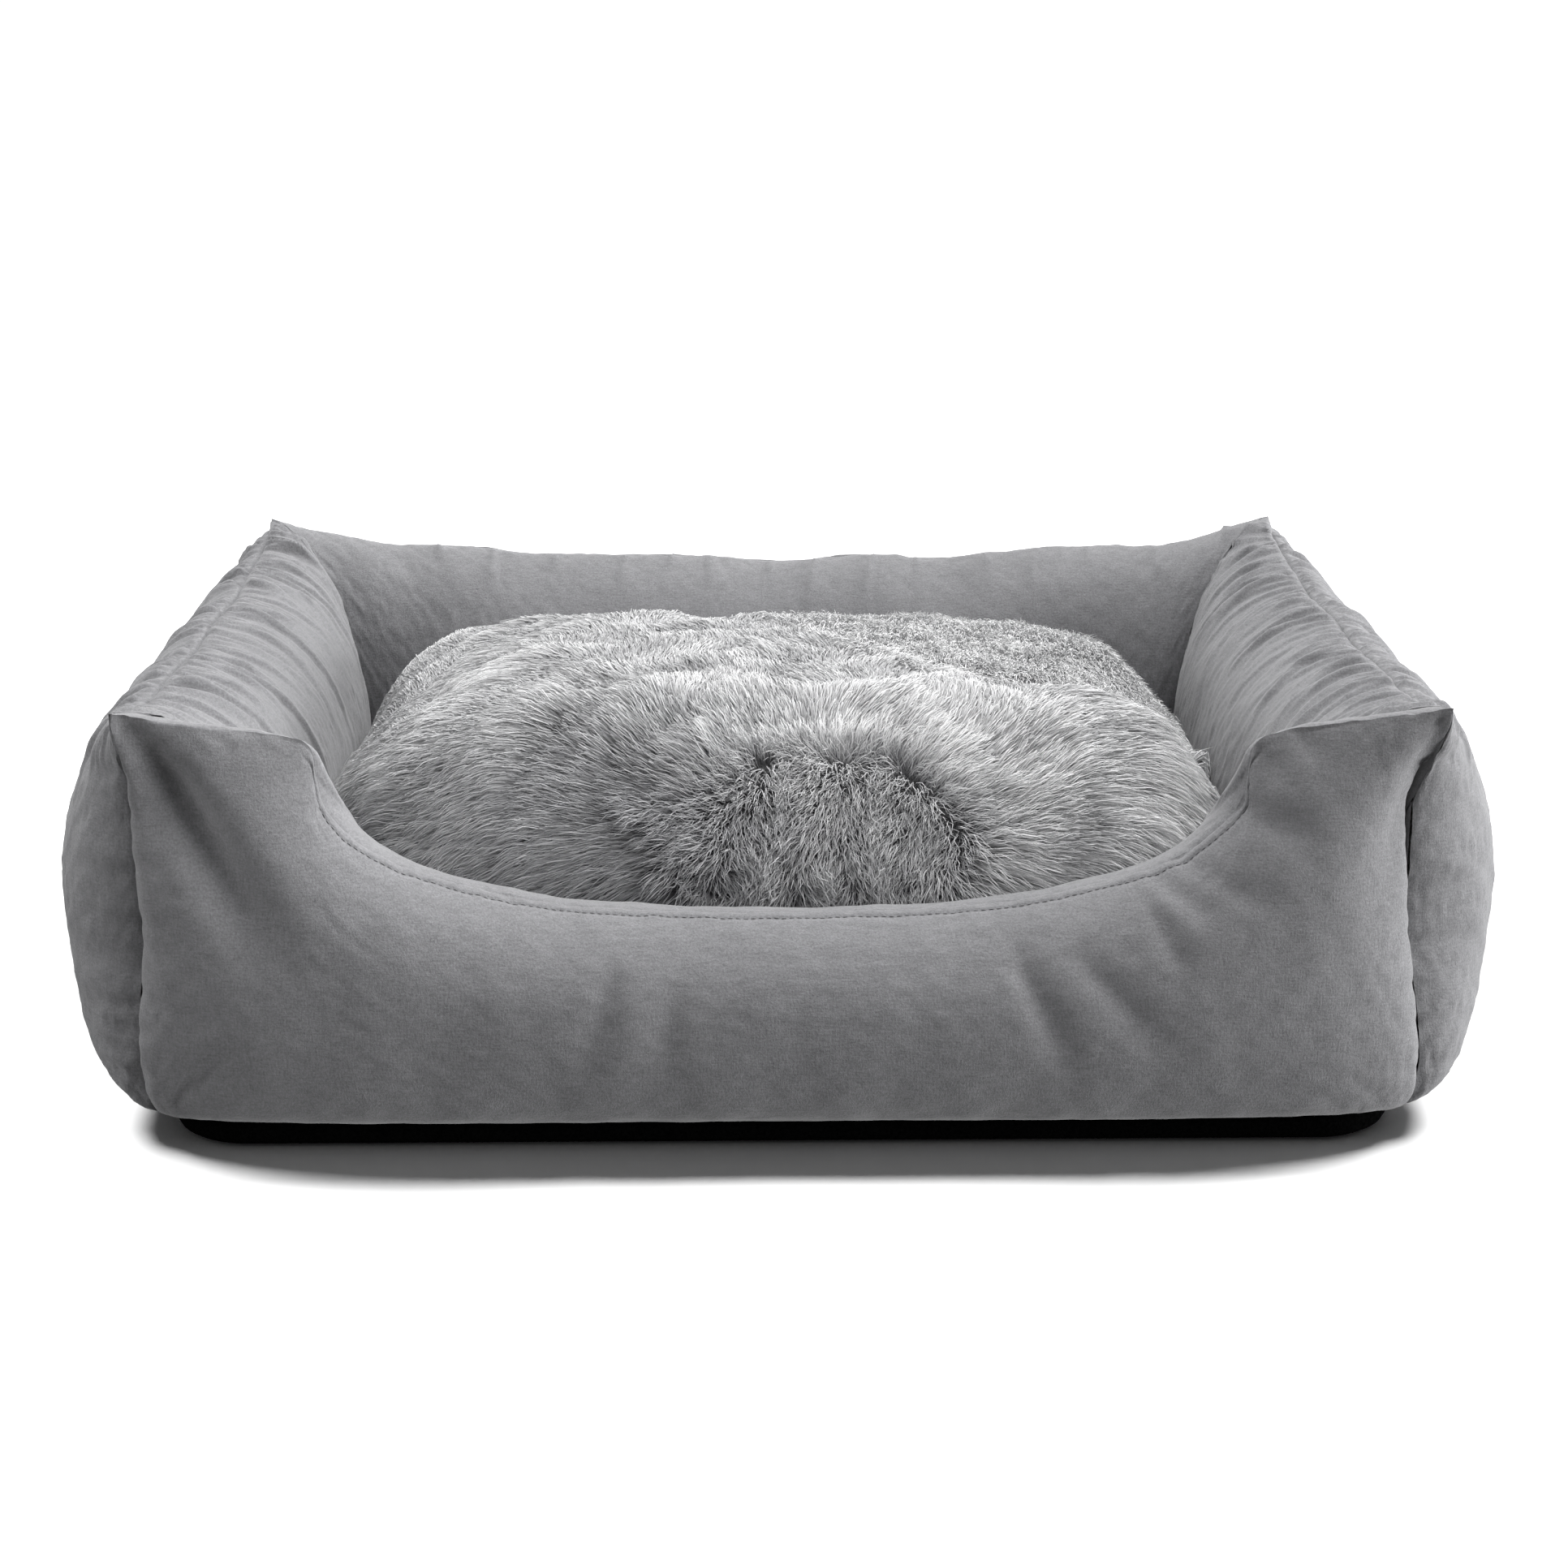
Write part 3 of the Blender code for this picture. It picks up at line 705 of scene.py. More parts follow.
# %% [markdown]
# ## The cushion's shape
#
# The cushion is a closed, crowned body, fullest along its seam, high left of the middle
# and lower at the right. It starts a little smaller than its space because the simulation
# swells it. A voxel remesh gives it the even mesh that cloth simulation likes.

# %% Cushion body before it is swollen
START_SMALLER = 0.006
REST_HEIGHT = CUSHION_LOW.z


def rounded_ring(half_x, half_y, radius, z, steps=12):
    """A rounded rectangle, anticlockwise from the right."""
    points = []
    for quarter, (sx, sy) in enumerate(((1, 1), (-1, 1), (-1, -1), (1, -1))):
        for i in range(steps + 1):
            angle = (quarter + i / steps) * math.pi / 2
            points.append((sx * (half_x - radius) + radius * math.cos(angle),
                           sy * (half_y - radius) + radius * math.sin(angle), z))
    return points


BOTTOM_ROUND = 0.030        # rounding of the cushion's lower edge
PLAN_ROUND = 0.080          # rounding of its corners, seen from above
FULLNESS = (0.16, 0.17, 0.32)   # sides, rear and front: the smaller, the steeper


def cushion_rings():
    """Rings from the cushion's flat bottom up over its seam to its crown."""
    half_x, half_y = CUSHION_X - START_SMALLER, CUSHION_Y - START_SMALLER
    rings = []
    for i in range(9):
        turn = math.pi / 2 * i / 8
        inset = BOTTOM_ROUND * (1 - math.sin(turn))
        z = REST_HEIGHT + 0.0005 + BOTTOM_ROUND * (1 - math.cos(turn))
        rings.append(rounded_ring(half_x - inset, half_y - inset, PLAN_ROUND - inset * 0.6, z))
    for i in range(12):
        turn = math.pi / 2 * i / 11.15
        side, rear, front = (math.cos(turn) ** power for power in FULLNESS)
        z = FUR_SEAM + (CUSHION_TOP - START_SMALLER - FUR_SEAM) * math.sin(turn)
        level = np.array(rounded_ring(half_x * side, half_y * rear, PLAN_ROUND * rear, z))
        level[:, 1] *= np.where(level[:, 1] < 0, front / rear, 1)
        rings.append(level)
    return np.array(rings)


rings = cushion_rings()
cushion_mesh = bpy.data.meshes.new("cushion_blank")
cushion_mesh.from_pydata(rings.reshape(-1, 3).tolist(), [],
                         tube_faces(*rings.shape[:2], flipped=True))
cushion_blank = bpy.data.objects.new("cushion_blank", cushion_mesh)
scene.collection.objects.link(cushion_blank)
remesh = cushion_blank.modifiers.new("even_mesh", "REMESH")
remesh.mode = "VOXEL"
remesh.voxel_size = 0.0062
cushion_blank.data = worked_mesh(cushion_blank)
cushion_blank.modifiers.clear()
print("cushion blank:", len(cushion_blank.data.vertices), "points")

# %% [markdown]
# ## Stuffing the covers
#
# Real covers get their look from being cut slightly larger than their seams and then
# stuffed tight. Blender's Cloth does the same: inner pressure pushes the panels out, the
# seams are held still, and a little extra cloth near the gathered seams has to pucker. All
# five covers are simulated together, and no point may move further than a set distance,
# so that the bed keeps its size.

# %% How a cover is sewn down and stuffed
FRAMES = 18
PRESSURE = 3.0


def add_weights(piece, name, weights):
    """A vertex group from an array of weights, in ten levels."""
    group = piece.vertex_groups.new(name=name)
    levels = np.round(np.clip(weights, 0, 1) * 10).astype(int)
    for level in range(1, 11):
        members = np.nonzero(levels == level)[0].tolist()
        if members:
            group.add(members, level / 10, "REPLACE")
    return name


def stuff(piece, held=None, ease=None, most_ease=0.0):
    """Add the Cloth modifier that swells a cover; ease is extra cloth, as a share."""
    cloth = piece.modifiers.new("stuffing", "CLOTH")
    cloth.point_cache.frame_start = 1
    cloth.point_cache.frame_end = FRAMES
    settings = cloth.settings
    settings.quality = 5
    settings.mass = 0.12
    settings.bending_stiffness = 0.12
    for way, stiffness in (("tension", 14), ("compression", 14), ("shear", 5)):
        setattr(settings, way + "_stiffness", stiffness)
        setattr(settings, way + "_damping", 4)
    settings.effector_weights.gravity = 0
    settings.use_pressure = True
    settings.uniform_pressure_force = PRESSURE
    if held is not None:
        settings.vertex_group_mass = add_weights(piece, "held", held)
        settings.pin_stiffness = 1
    if ease is not None:
        settings.vertex_group_shrink = add_weights(piece, "ease", ease)
        settings.shrink_min = 0.0
        settings.shrink_max = -most_ease


def cover_weights(name, net):
    """Which points are sewn down, and where extra cloth is gathered in."""
    stations, rows = net.shape[:2]
    held = np.zeros((stations, rows))
    held[[0, -1], :] = 1
    held[:, [0, ROWS - 1, rows - 1]] = 1
    if name == "front":
        stitched = np.abs(net[:, ROWS - 1, 0]) < SCOOP_HALF
        held[stitched, ROWS - 3] = 0.8
        held[stitched, ROWS - 2] = 1
        held[stitched, ROWS] = 1
    from_seam = np.abs(np.arange(rows) - (ROWS - 1)) / (ROWS - 1)
    if name in ("left", "right"):
        ease = np.clip(1.15 - 1.3 * from_seam, 0.15, 1)[None, :].repeat(stations, 0)
        ease = ease * rise_over(PEAK_Y - np.abs(net[:, :, 1]), 0.0, 0.07)
    else:
        ease = np.full((stations, rows), 0.35)
    return held, ease


print("covers will be simulated for", FRAMES, "frames")

# %% Simulate the covers
MOST_EASE = {"front": 0.012, "rear": 0.030, "left": 0.085, "right": 0.085}
blanks = {}
for name, net in nets.items():
    blank = make_piece(name + "_blank", net, net_faces(*net.shape[:2]), melange, "bed")
    outward = net_normals(net)[len(net) // 2, ROWS // 2]
    if np.dot(outward, net[len(net) // 2, ROWS // 2] * (1, 1, 0)) < 0:
        blank.data.flip_normals()
    wobble = chance.normal(0, 0.00025, net.shape).reshape(-1, 3)
    blank.data.vertices.foreach_set("co", (net.reshape(-1, 3) + wobble).ravel())
    held, ease = cover_weights(name, net)
    stuff(blank, held.ravel(), ease.ravel(), MOST_EASE[name])
    blanks[name] = blank
stuff(cushion_blank)
for number in range(1, FRAMES + 1):
    scene.frame_set(number)
print("simulated", len(blanks), "walls for", FRAMES, "frames")

# %% [markdown]
# The simulated points are read back, each move is eased off towards its cap, and the
# blanks are deleted, so no Cloth modifier is left on any piece.

# %% Read the swollen shapes
def capped(before, after, cap):
    """Moves eased so that none is longer than the cap."""
    move = after - before
    far = np.linalg.norm(move, axis=-1, keepdims=True)
    return before + move * np.tanh(far / cap) * cap / np.maximum(far, 1e-9)


def swollen(piece):
    """A piece's points as its modifiers leave them."""
    return points_of(piece.evaluated_get(bpy.context.evaluated_depsgraph_get()).data)


WALL_CAP = 0.009
CUSHION_CAP = 0.011
for name, blank in blanks.items():
    moved = capped(nets[name], swollen(blank).reshape(nets[name].shape), WALL_CAP)
    print(name, "moved", round(1000 * np.abs(moved - nets[name]).max(), 1), "mm at most")
    nets[name] = moved
    bpy.data.objects.remove(blank)
cushion_points = points_of(cushion_blank.data)
if cushion_blank.modifiers:
    cushion_points = capped(cushion_points, swollen(cushion_blank), CUSHION_CAP)
    cushion_blank.modifiers.clear()
scene.frame_set(1)
print("cushion now reaches", np.round(np.abs(cushion_points).max(0), 3))

# %% [markdown]
# ## Finishing the walls
#
# The simulated nets are refined to about 2 mm by 3 mm, with extra rows beside the top
# seam. Then the sewn details are worked in as small moves along the surface normals: the
# crease of the seam, the pleats that fan out from the gathered side seams, puckers beside
# the corners, and the stitched lip round the scoop.

# %% Refine a net, keeping track of distance from the seam
SEAM_ROWS = np.array([0, 1.2, 2.5, 4, 5.5, 6.6, 7.4, 8.2, 9, 10.2, 12.5, 15.5]) / 1000
PANEL_ROWS = 74
SEAM_ROW = len(SEAM_ROWS) + PANEL_ROWS - 1


def refine(net, spacing_share=2):
    """A denser net, and each point's distance from the top seam, negative outside."""
    fine = smooth_between(net, (len(net) - 1) * spacing_share + 1)
    sides = []
    for side in (fine[:, ROWS - 1::-1], fine[:, ROWS - 1:]):
        dense = smooth_between(side.transpose(1, 0, 2), 260).transpose(1, 0, 2)
        points, distances = [], []
        for line in dense:
            rest = np.linspace(SEAM_ROWS[-1], line_length(line), PANEL_ROWS + 1)[1:]
            distance = np.concatenate([SEAM_ROWS, rest])
            points.append(along(line, distance))
            distances.append(distance)
        sides.append((np.array(points), np.array(distances)))
    (outer, out_by), (inner, in_by) = sides
    net = np.concatenate([outer[:, :0:-1], inner], 1)
    by = np.concatenate([-out_by[:, :0:-1], in_by], 1)
    return net, by


def relaxed(net, share):
    """The net evened out along the wall, in proportion to share, which removes creases."""
    for _ in range(10):
        between = (net[:-2] + net[2:]) / 2
        net[1:-1] += 0.5 * share[1:-1, :, None] * (between - net[1:-1])
    return net


print("each finished wall has", 2 * SEAM_ROW + 1, "rows")

# %% Pleats, puckers and folds as heights over the net
def pleats(s, by, places, inner_reach, outer_reach, height, seed):
    """Ridges that cross the top seam: steep on one side, easy on the other."""
    source = np.random.default_rng(seed)
    total = np.zeros_like(s)
    for place in places:
        reach_in = inner_reach * source.uniform(0.35, 1.0) ** 1.2
        reach_out = outer_reach * source.uniform(0.4, 1.0)
        tall = height * source.uniform(0.35, 1.0)
        drift = source.uniform(-0.22, 0.22)
        bow = source.uniform(-1.2, 1.2)
        begin = source.uniform(0.0, 0.006)
        distance = np.abs(by)
        line = place + drift * by + bow * by * distance
        reach = np.where(by > 0, reach_in, reach_out)
        fade = rise_over(reach - distance, 0.0, 0.7 * reach)
        fade = fade * rise_over(distance, 0, begin + 0.004)
        broad = 0.6 + 3.2 * np.clip(distance / reach, 0, 1)
        x = (s - line) * (1 if source.random() < 0.5 else -1)
        steep = np.exp(-(x / (0.0010 * broad)) ** 2)
        easy = np.exp(-(x / (0.0038 * broad)) ** 2)
        total += tall * fade * np.where(x < 0, steep, easy)
    return total


def uneven_places(start, end, near, far, seed):
    """Places along a seam, near to far apart, as fingers would gather it."""
    source = np.random.default_rng(seed)
    places = [start]
    while places[-1] < end:
        places.append(places[-1] + source.uniform(near, far))
    return places


def corner_puckers(end_gap, height_up, seed, size):
    """Short folds that run level away from a corner seam, where the cloth was eased in."""
    source = np.random.default_rng(seed)
    total = np.zeros_like(end_gap)
    for place in uneven_places(0.045, 0.235, 0.012, 0.034, seed + 1):
        reach = source.uniform(0.014, 0.042)
        tall = size * source.uniform(0.4, 1.0)
        line = place + source.uniform(-0.35, 0.35) * end_gap
        fade = np.exp(-(end_gap / reach) ** 2) * rise_over(end_gap, 0.0, 0.008)
        thin = 0.0035 + 0.10 * end_gap
        total -= tall * fade * np.exp(-((height_up - line) / thin) ** 2)
    return total


def fold(x, z, start, end, width, depth):
    """A soft furrow from start to end, deepest at a third of its length."""
    start, end = np.array(start), np.array(end)
    run = end - start
    length = np.linalg.norm(run)
    t = ((x - start[0]) * run[0] + (z - start[1]) * run[1]) / length ** 2
    off = ((x - start[0]) * run[1] - (z - start[1]) * run[0]) / length
    fade = rise_over(t, -0.15, 0.25) * (1 - rise_over(t, 0.45, 1.15))
    return -depth * fade * np.exp(-(off / (width * (0.55 + 0.6 * np.clip(t, 0, 1)))) ** 2)


print("detail tools ready")

# %% [markdown]
# Each wall gets its own set of heights. The side walls carry the gathers. The front wall
# has a long furrow that falls from its left corner, shallow folds under the scoop, and the
# flat stitched lip. The rear wall is the smoothest, with a few folds hanging from its seam.

# %% Heights of each wall's own details
LIP = 0.0082                # how far below the scooped edge the lip is stitched
# Each fold: where it starts and ends (along, up), its half width, and its depth.
FRONT_FOLDS = [((-0.378, 0.256), (-0.294, 0.118), 0.020, 0.0150),
               ((-0.384, 0.240), (-0.368, 0.110), 0.009, -0.0045),
               ((0.262, 0.212), (0.318, 0.192), 0.012, 0.0040),
               ((0.276, 0.246), (0.296, 0.226), 0.009, 0.0022),
               ((0.300, 0.252), (0.322, 0.238), 0.008, 0.0014),
               ((0.216, 0.170), (0.262, 0.146), 0.008, 0.0028),
               ((0.216, 0.155), (0.240, 0.110), 0.009, 0.0028),
               ((0.385, 0.262), (0.352, 0.150), 0.014, 0.0045),
               ((-0.100, 0.120), (-0.120, 0.050), 0.012, 0.0022),
               ((-0.062, 0.115), (-0.080, 0.040), 0.014, 0.0020),
               ((0.135, 0.130), (0.175, 0.050), 0.012, 0.0035),
               ((0.175, 0.125), (0.235, 0.060), 0.013, 0.0030),
               ((0.215, 0.185), (0.300, 0.150), 0.010, 0.0025)]


def side_details(s, z, by, end_gap, seed):
    """Fine and broad gathers over the top seam, and puckers at the corners."""
    height = pleats(s, by, uneven_places(-0.285, 0.280, 0.006, 0.017, seed),
                    0.135, 0.060, 0.0036, seed + 1)
    height += pleats(s, by, uneven_places(-0.27, 0.27, 0.022, 0.045, seed + 2),
                     0.18, 0.095, 0.0046, seed + 3)
    height += np.where(by < 0, corner_puckers(end_gap, z, seed + 4, 0.0032), 0)
    return height + (0.0006 * np.exp(-(end_gap / 0.09) ** 2)
                     * ripple(z, end_gap, 0.03, 7, seed + 5))


def front_details(s, z, by, end_gap, seed):
    """The stitched lip, the furrow and folds, and small puckers."""
    lip = (by < 0) & (np.abs(s) < SCOOP_HALF + 0.004)
    height = np.where(lip & (-by < LIP), 0.0006, 0) * rise_over(-by, 0, 0.002)
    height -= np.where(lip, 0.0009, 0) * np.exp(-((-by - LIP) / 0.0010) ** 2)
    height += np.where(by < 0, sum(fold(s, z, *each) for each in FRONT_FOLDS), 0)
    return height + np.where(by < 0, corner_puckers(end_gap, z, seed, 0.0012), 0)


def rear_details(s, z, by, end_gap, seed):
    """A few long folds that hang from the seam, and puckers at the corners."""
    places = uneven_places(-0.30, 0.33, 0.03, 0.06, seed)
    height = pleats(s, by, places, 0.10, 0.09, 0.0030, seed + 1)
    height = height * rise_over(np.abs(by), 0, 0.01)
    return height + np.where(by < 0, corner_puckers(end_gap, z, seed + 4, 0.0035), 0)


# For each wall: its details, their seed, and how deep its top seam is drawn in.
DETAILS = {"front": (front_details, 61, 0.0005), "rear": (rear_details, 71, 0.0019),
           "left": (side_details, 20, 0.0019), "right": (side_details, 40, 0.0019)}
print("details for", list(DETAILS))

# %% Work the details into each wall
finished = {}


def points_outward(name, net, normal):
    """Whether a net's normals point away from the bed, judged on its outer panel."""
    middle = (len(net) // 2, SEAM_ROW // 2)
    return np.dot(normal[middle], net[middle] * (1, 1, 0)) > 0


def soft_normals(net):
    """Normals averaged with their neighbours, so that details don't follow creases."""
    normal = net_normals(net)
    for _ in range(4):
        normal[1:-1, 1:-1] = (normal[:-2, 1:-1] + normal[2:, 1:-1] + normal[1:-1, :-2]
                              + normal[1:-1, 2:]) / 4
    return unit(normal)


for name, net in nets.items():
    is_side = name in ("left", "right")
    net, by = refine(net, 3 if is_side else 2)
    if name == "front":
        share = rise_over(np.abs(by), 0.010, 0.030)
        net = relaxed(net, share * rise_over(PEAK_X - np.abs(net[:, :, 0]), 0.040, 0.080))
    s, z = net[:, :, int(is_side)], net[:, :, 2]
    end_gap = np.maximum(WALLS[name]["half"] - np.abs(s), 0)
    across = np.where(by < 0, -z, z + 0.1)
    own_details, seed, seam_depth = DETAILS[name]
    height = (0.0006 * ripple(s, across, 0.09, 9, 11) + 0.0002 * ripple(s, across, 0.022, 9, 12)
              - seam_depth * np.exp(-(by / 0.0014) ** 2)
              + own_details(s, z, by, end_gap, seed))
    near_end = rise_over(end_gap, 0.0002, np.where(by < 0, 0.006, 0.030))
    near_foot = rise_over(z, WALL_BOTTOM, WALL_BOTTOM + 0.010)
    normal = soft_normals(net)
    if not points_outward(name, net, normal):
        normal = -normal
    net = net + normal * (height * near_end * near_foot)[:, :, None]
    finished[name] = {"net": net, "by": by, "normal": normal}
print("finished", {name: piece["net"].shape[:2] for name, piece in finished.items()})

# %% [markdown]
# Each wall's cover is one piece: the outer and inner panels share the top seam, which is
# marked sharp so that it shades as a fold. Under each cover goes its filling, a body of
# wadding that is a little smaller all round.

# %% Covers and their fillings
def mark_seam(piece, rows, row):
    """Shade the fold at one row of a net as a sharp edge."""
    vertices = np.empty(len(piece.data.edges) * 2, int)
    piece.data.edges.foreach_get("vertices", vertices)
    on_seam = (vertices.reshape(-1, 2) % rows == row).all(1)
    sharp = piece.data.attributes.new("sharp_edge", "BOOLEAN", "EDGE")
    sharp.data.foreach_set("value", on_seam)


FILLING_INSET = 24          # finished stations left bare at each end of a wall
FILLING_SHARE = {"front": (0.90, 0.58, 0.72), "rear": (0.90, 0.58, 0.72),
                 "left": (0.60, 0.90, 0.72), "right": (0.60, 0.90, 0.72)}
for name, made in finished.items():
    net = made["net"]
    cover = make_piece(name + "_wall_cover", net, net_faces(*net.shape[:2]), melange, "bed")
    if not points_outward(name, net, net_normals(net)):
        cover.data.flip_normals()
    mark_seam(cover, net.shape[1], SEAM_ROW)
    stands_for(cover, name + "_outer_panel", name + "_inner_panel")

    thin = net[FILLING_INSET:-FILLING_INSET:4, ::4]
    middle = thin.mean(1, keepdims=True)
    filling = middle + (thin - middle) * FILLING_SHARE[name]
    filling[:, :, 2] = np.maximum(filling[:, :, 2], WALL_BOTTOM + 0.001)
    stuffing = make_piece(name + "_wall_wadding", filling, tube_faces(*filling.shape[:2]),
                          wadding, "bed")
    stands_for(stuffing, name + "_wall_fill")
print("covers and fillings made")

# %% [markdown]
# ## Topstitching
#
# A line of lockstitch runs 8 mm below the scooped edge and holds the two panels flat. Each
# stitch is a short loop of thread that rises from one needle hole and sinks into the next.
# Real stitches of 3.5 mm are modelled one by one: a curve with an array would be quicker,
# but single stitches can each follow the cloth.

# %% Stitches that follow a line
front = finished["front"]
lip_row = SEAM_ROW - int(np.argmin(np.abs(SEAM_ROWS - LIP)))
lip_line = front["net"][:, lip_row]
lip_normal = front["normal"][:, lip_row]
in_scoop = (np.abs(lip_line[:, 0]) < SCOOP_HALF) & (lip_line[:, 2] < HORN_HEIGHT - 0.016)
STITCH_SHARES = np.array([0.0, 0.18, 0.5, 0.82, 1.0])       # sections along one stitch
STITCH_THICK = np.array([0.35, 0.9, 1.0, 0.9, 0.35])        # and, in thread radii, how
STITCH_LIFT = np.array([-0.6, 0.35, 0.7, 0.35, -0.6])       # thick and how high it is
SIDES = 6


def stitches_on(name, line, normals, body, stitch=0.0034, gap=0.0012, radius=0.0004):
    """Even stitches along a line, each lying on the cloth that the normals rise from."""
    length = np.concatenate([[0], np.cumsum(np.linalg.norm(np.diff(line, axis=0), axis=1))])
    at = np.linspace(0, length[-1], 400)
    line = np.stack([np.interp(at, length, line[:, k]) for k in range(3)], 1)
    normals = np.stack([np.interp(at, length, normals[:, k]) for k in range(3)], 1)
    starts = np.arange(0.001, length[-1] - stitch, stitch + gap)
    where = (starts[:, None] + STITCH_SHARES[None, :] * stitch) / at[1]
    low = np.clip(where.astype(int), 0, 398)
    part = (where - low)[:, :, None]
    centre = line[low] * (1 - part) + line[low + 1] * part
    up = unit(normals[low] * (1 - part) + normals[low + 1] * part)
    across = np.cross(unit(np.gradient(centre, axis=1)), up)
    turn = (np.arange(SIDES) * 2 * math.pi / SIDES)[None, None, :, None]
    thick = (STITCH_THICK * radius)[None, :, None, None]
    lift = (STITCH_LIFT * radius)[None, :, None, None]
    loops = (centre[:, :, None] + up[:, :, None] * (lift + thick * np.sin(turn))
             + across[:, :, None] * thick * np.cos(turn))
    one = tube_faces(len(STITCH_SHARES), SIDES)
    faces = [[corner + first for corner in face]
             for first in range(0, len(starts) * len(STITCH_SHARES) * SIDES,
                                len(STITCH_SHARES) * SIDES) for face in one]
    return make_piece(name, loops, faces, thread, body)


stitches_on("scoop_topstitch", lip_line[in_scoop], lip_normal[in_scoop], "bed", radius=0.00038)
print("topstitch", round(line_length(lip_line[in_scoop]), 3), "m long")

# %% [markdown]
# ## Cloth inside the corners
#
# Each mitre is closed by a cloth divider that keeps one wall's filling from creeping into
# the next. It is drawn a little inside the seam allowance, so that only the seam shows.

# %% Mitre dividers
INSIDE_SEAM = 0.95
outline = ring("right", -1.0, -1.0)[:, 1:]
centre = outline.mean(0)
outline = centre + (outline - centre) * INSIDE_SEAM
for name, side_x, side_y in (("front_left", -1, -1), ("front_right", 1, -1),
                             ("rear_left", -1, 1), ("rear_right", 1, 1)):
    layers = []
    for share in np.linspace(1, 0.06, 8):
        flat = centre + (outline - centre) * share
        layers.append(np.stack([side_x * (PEAK_X - flat[:, 0]), side_y * (PEAK_Y - flat[:, 0]),
                                flat[:, 1]], 1))
    layers = np.array(layers)
    faces = net_faces(*layers.shape[:2], closed=True).tolist()
    divider = make_piece(name + "_mitre_cloth", layers, faces, lining, "bed")
    stands_for(divider, name + "_divider")

# %% [markdown]
# ## The base
#
# The base is a foam board in a black cover whose edge turns up softly round it, a little
# wavy, as sewn covers are. On top lies the tray's floor panel, one layer of lining with
# shallow wrinkles where it is caught in the wall seams.

# %% Base cover, foam board and floor panel
EDGE_BAND = 0.02            # only this much of a slab's edge is wavy


def slab_rings(low, high, radius, levels, wave):
    """Rings of a soft-edged slab, at levels of (inset, share of its height)."""
    half_x, half_y = high.x, high.y
    made = []
    for inset, share in levels:
        points = np.array(rounded_ring(half_x - inset, half_y - inset,
                                       max(radius - inset, 0.004),
                                       low.z + (high.z - low.z) * share, 40))
        angle = np.arctan2(points[:, 1], points[:, 0])
        edge = 1 - min(inset / EDGE_BAND, 1)
        points[:, :2] *= 1 + wave * edge * ripple(angle, angle * 0, 0.35, 6, 5)[:, None]
        made.append(points)
    return np.array(made)


BASE_LEVELS = [(0.200, 0.0), (0.100, 0.0), (0.030, 0.0), (0.010, 0.02), (0.005, 0.08),
               (0.0018, 0.22), (0.0, 0.45), (0.0006, 0.78), (0.0022, 1.02), (0.006, 1.12),
               (0.012, 1.12)]
rings = slab_rings(BASE_LOW, BASE_HIGH, 0.050, BASE_LEVELS, 0.0022)
faces = net_faces(*rings.shape[:2], closed=True).tolist()
faces.append(list(range(rings.shape[1])))      # the bottom, left open at the top
base_cover = make_piece("base_black_cover", rings, faces, spunbond, "bed")
stands_for(base_cover, "base_underside")

pad_low, pad_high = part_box("base_pad")
PAD_LEVELS = [(0.150, 0.0), (0.020, 0.0), (0.007, 0.05), (0.004, 0.25), (0.0035, 0.6),
              (0.005, 0.85), (0.009, 0.93), (0.020, 0.94), (0.150, 0.94)]
rings = slab_rings(pad_low, pad_high, 0.048, PAD_LEVELS, 0.0)
board = make_piece("base_foam_board", rings, tube_faces(*rings.shape[:2]), foam, "bed")
stands_for(board, "base_pad")

u, v = np.meshgrid(np.linspace(-1, 1, 161), np.linspace(-1, 1, 131), indexing="ij")
panel_x = u * (FLOOR_HIGH.x - 0.012)
panel_y = v * (FLOOR_HIGH.y - 0.012)
pull = np.maximum(np.abs(u), np.abs(v)) ** 12
panel_x *= 1 - 0.035 * pull * np.abs(v) ** 12
panel_y *= 1 - 0.035 * pull * np.abs(u) ** 12
wrinkle = (0.00022 * ripple(panel_x, panel_y, 0.09, 8, 31)
           + 0.00012 * ripple(panel_x, panel_y, 0.03, 8, 32))
panel_z = FLOOR_HIGH.z - 0.0002 + wrinkle * (1 - pull)
panel = make_piece("tray_floor_panel", np.stack([panel_x, panel_y, panel_z], -1),
                   net_faces(*u.shape), lining, "bed")
stands_for(panel, "base_floor_panel")

# %% [markdown]
# ## The cushion's two cloths and its filling
#
# The swollen cushion body is cut at its seam height: above is the knitted backing that
# carries the fur, below is the plain lining. The lower one is flat where it rests on the
# tray. At the right rear the fur top has a deep crease between two lobes of filling.

# %% Pelt and underside
ZIP_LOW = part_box("zip_lower_tape")[0]
ZIP_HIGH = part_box("zip_upper_tape")[1]
ZIP_MIDDLE = (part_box("zip_lower_tape")[1].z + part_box("zip_upper_tape")[0].z) / 2


def crease_line(x):
    """Where the crease between the two lobes runs, from the right edge inward."""
    return -0.045 + 0.9 * np.clip(x - 0.20, 0, None) ** 1.6


def lobes(x, y):
    """How far the pelt rises or sinks beside the crease."""
    along_it = rise_over(x, 0.06, 0.20) * (1 - rise_over(x, 0.270, 0.298))
    off = y - crease_line(x)
    furrow = -0.017 * np.exp(-(off / 0.016) ** 2)
    front_lobe = 0.007 * np.exp(-((off + 0.045) / 0.040) ** 2)
    rear_lobe = -0.004 * np.exp(-((off - 0.050) / 0.050) ** 2)
    return along_it * (furrow + front_lobe + rear_lobe)


print("crease at the right edge:", round(float(crease_line(0.3)), 3))

# %% [markdown]
# ## Staying clear of the walls
#
# The cushion is squeezed between the walls, so its pelt and its pile must follow them
# without cutting in. A collision in the simulation could do it, but a search tree over the
# walls' inner faces is quicker and serves both: it gives the nearest place on a wall, and
# a point that lies behind it is brought back in front.

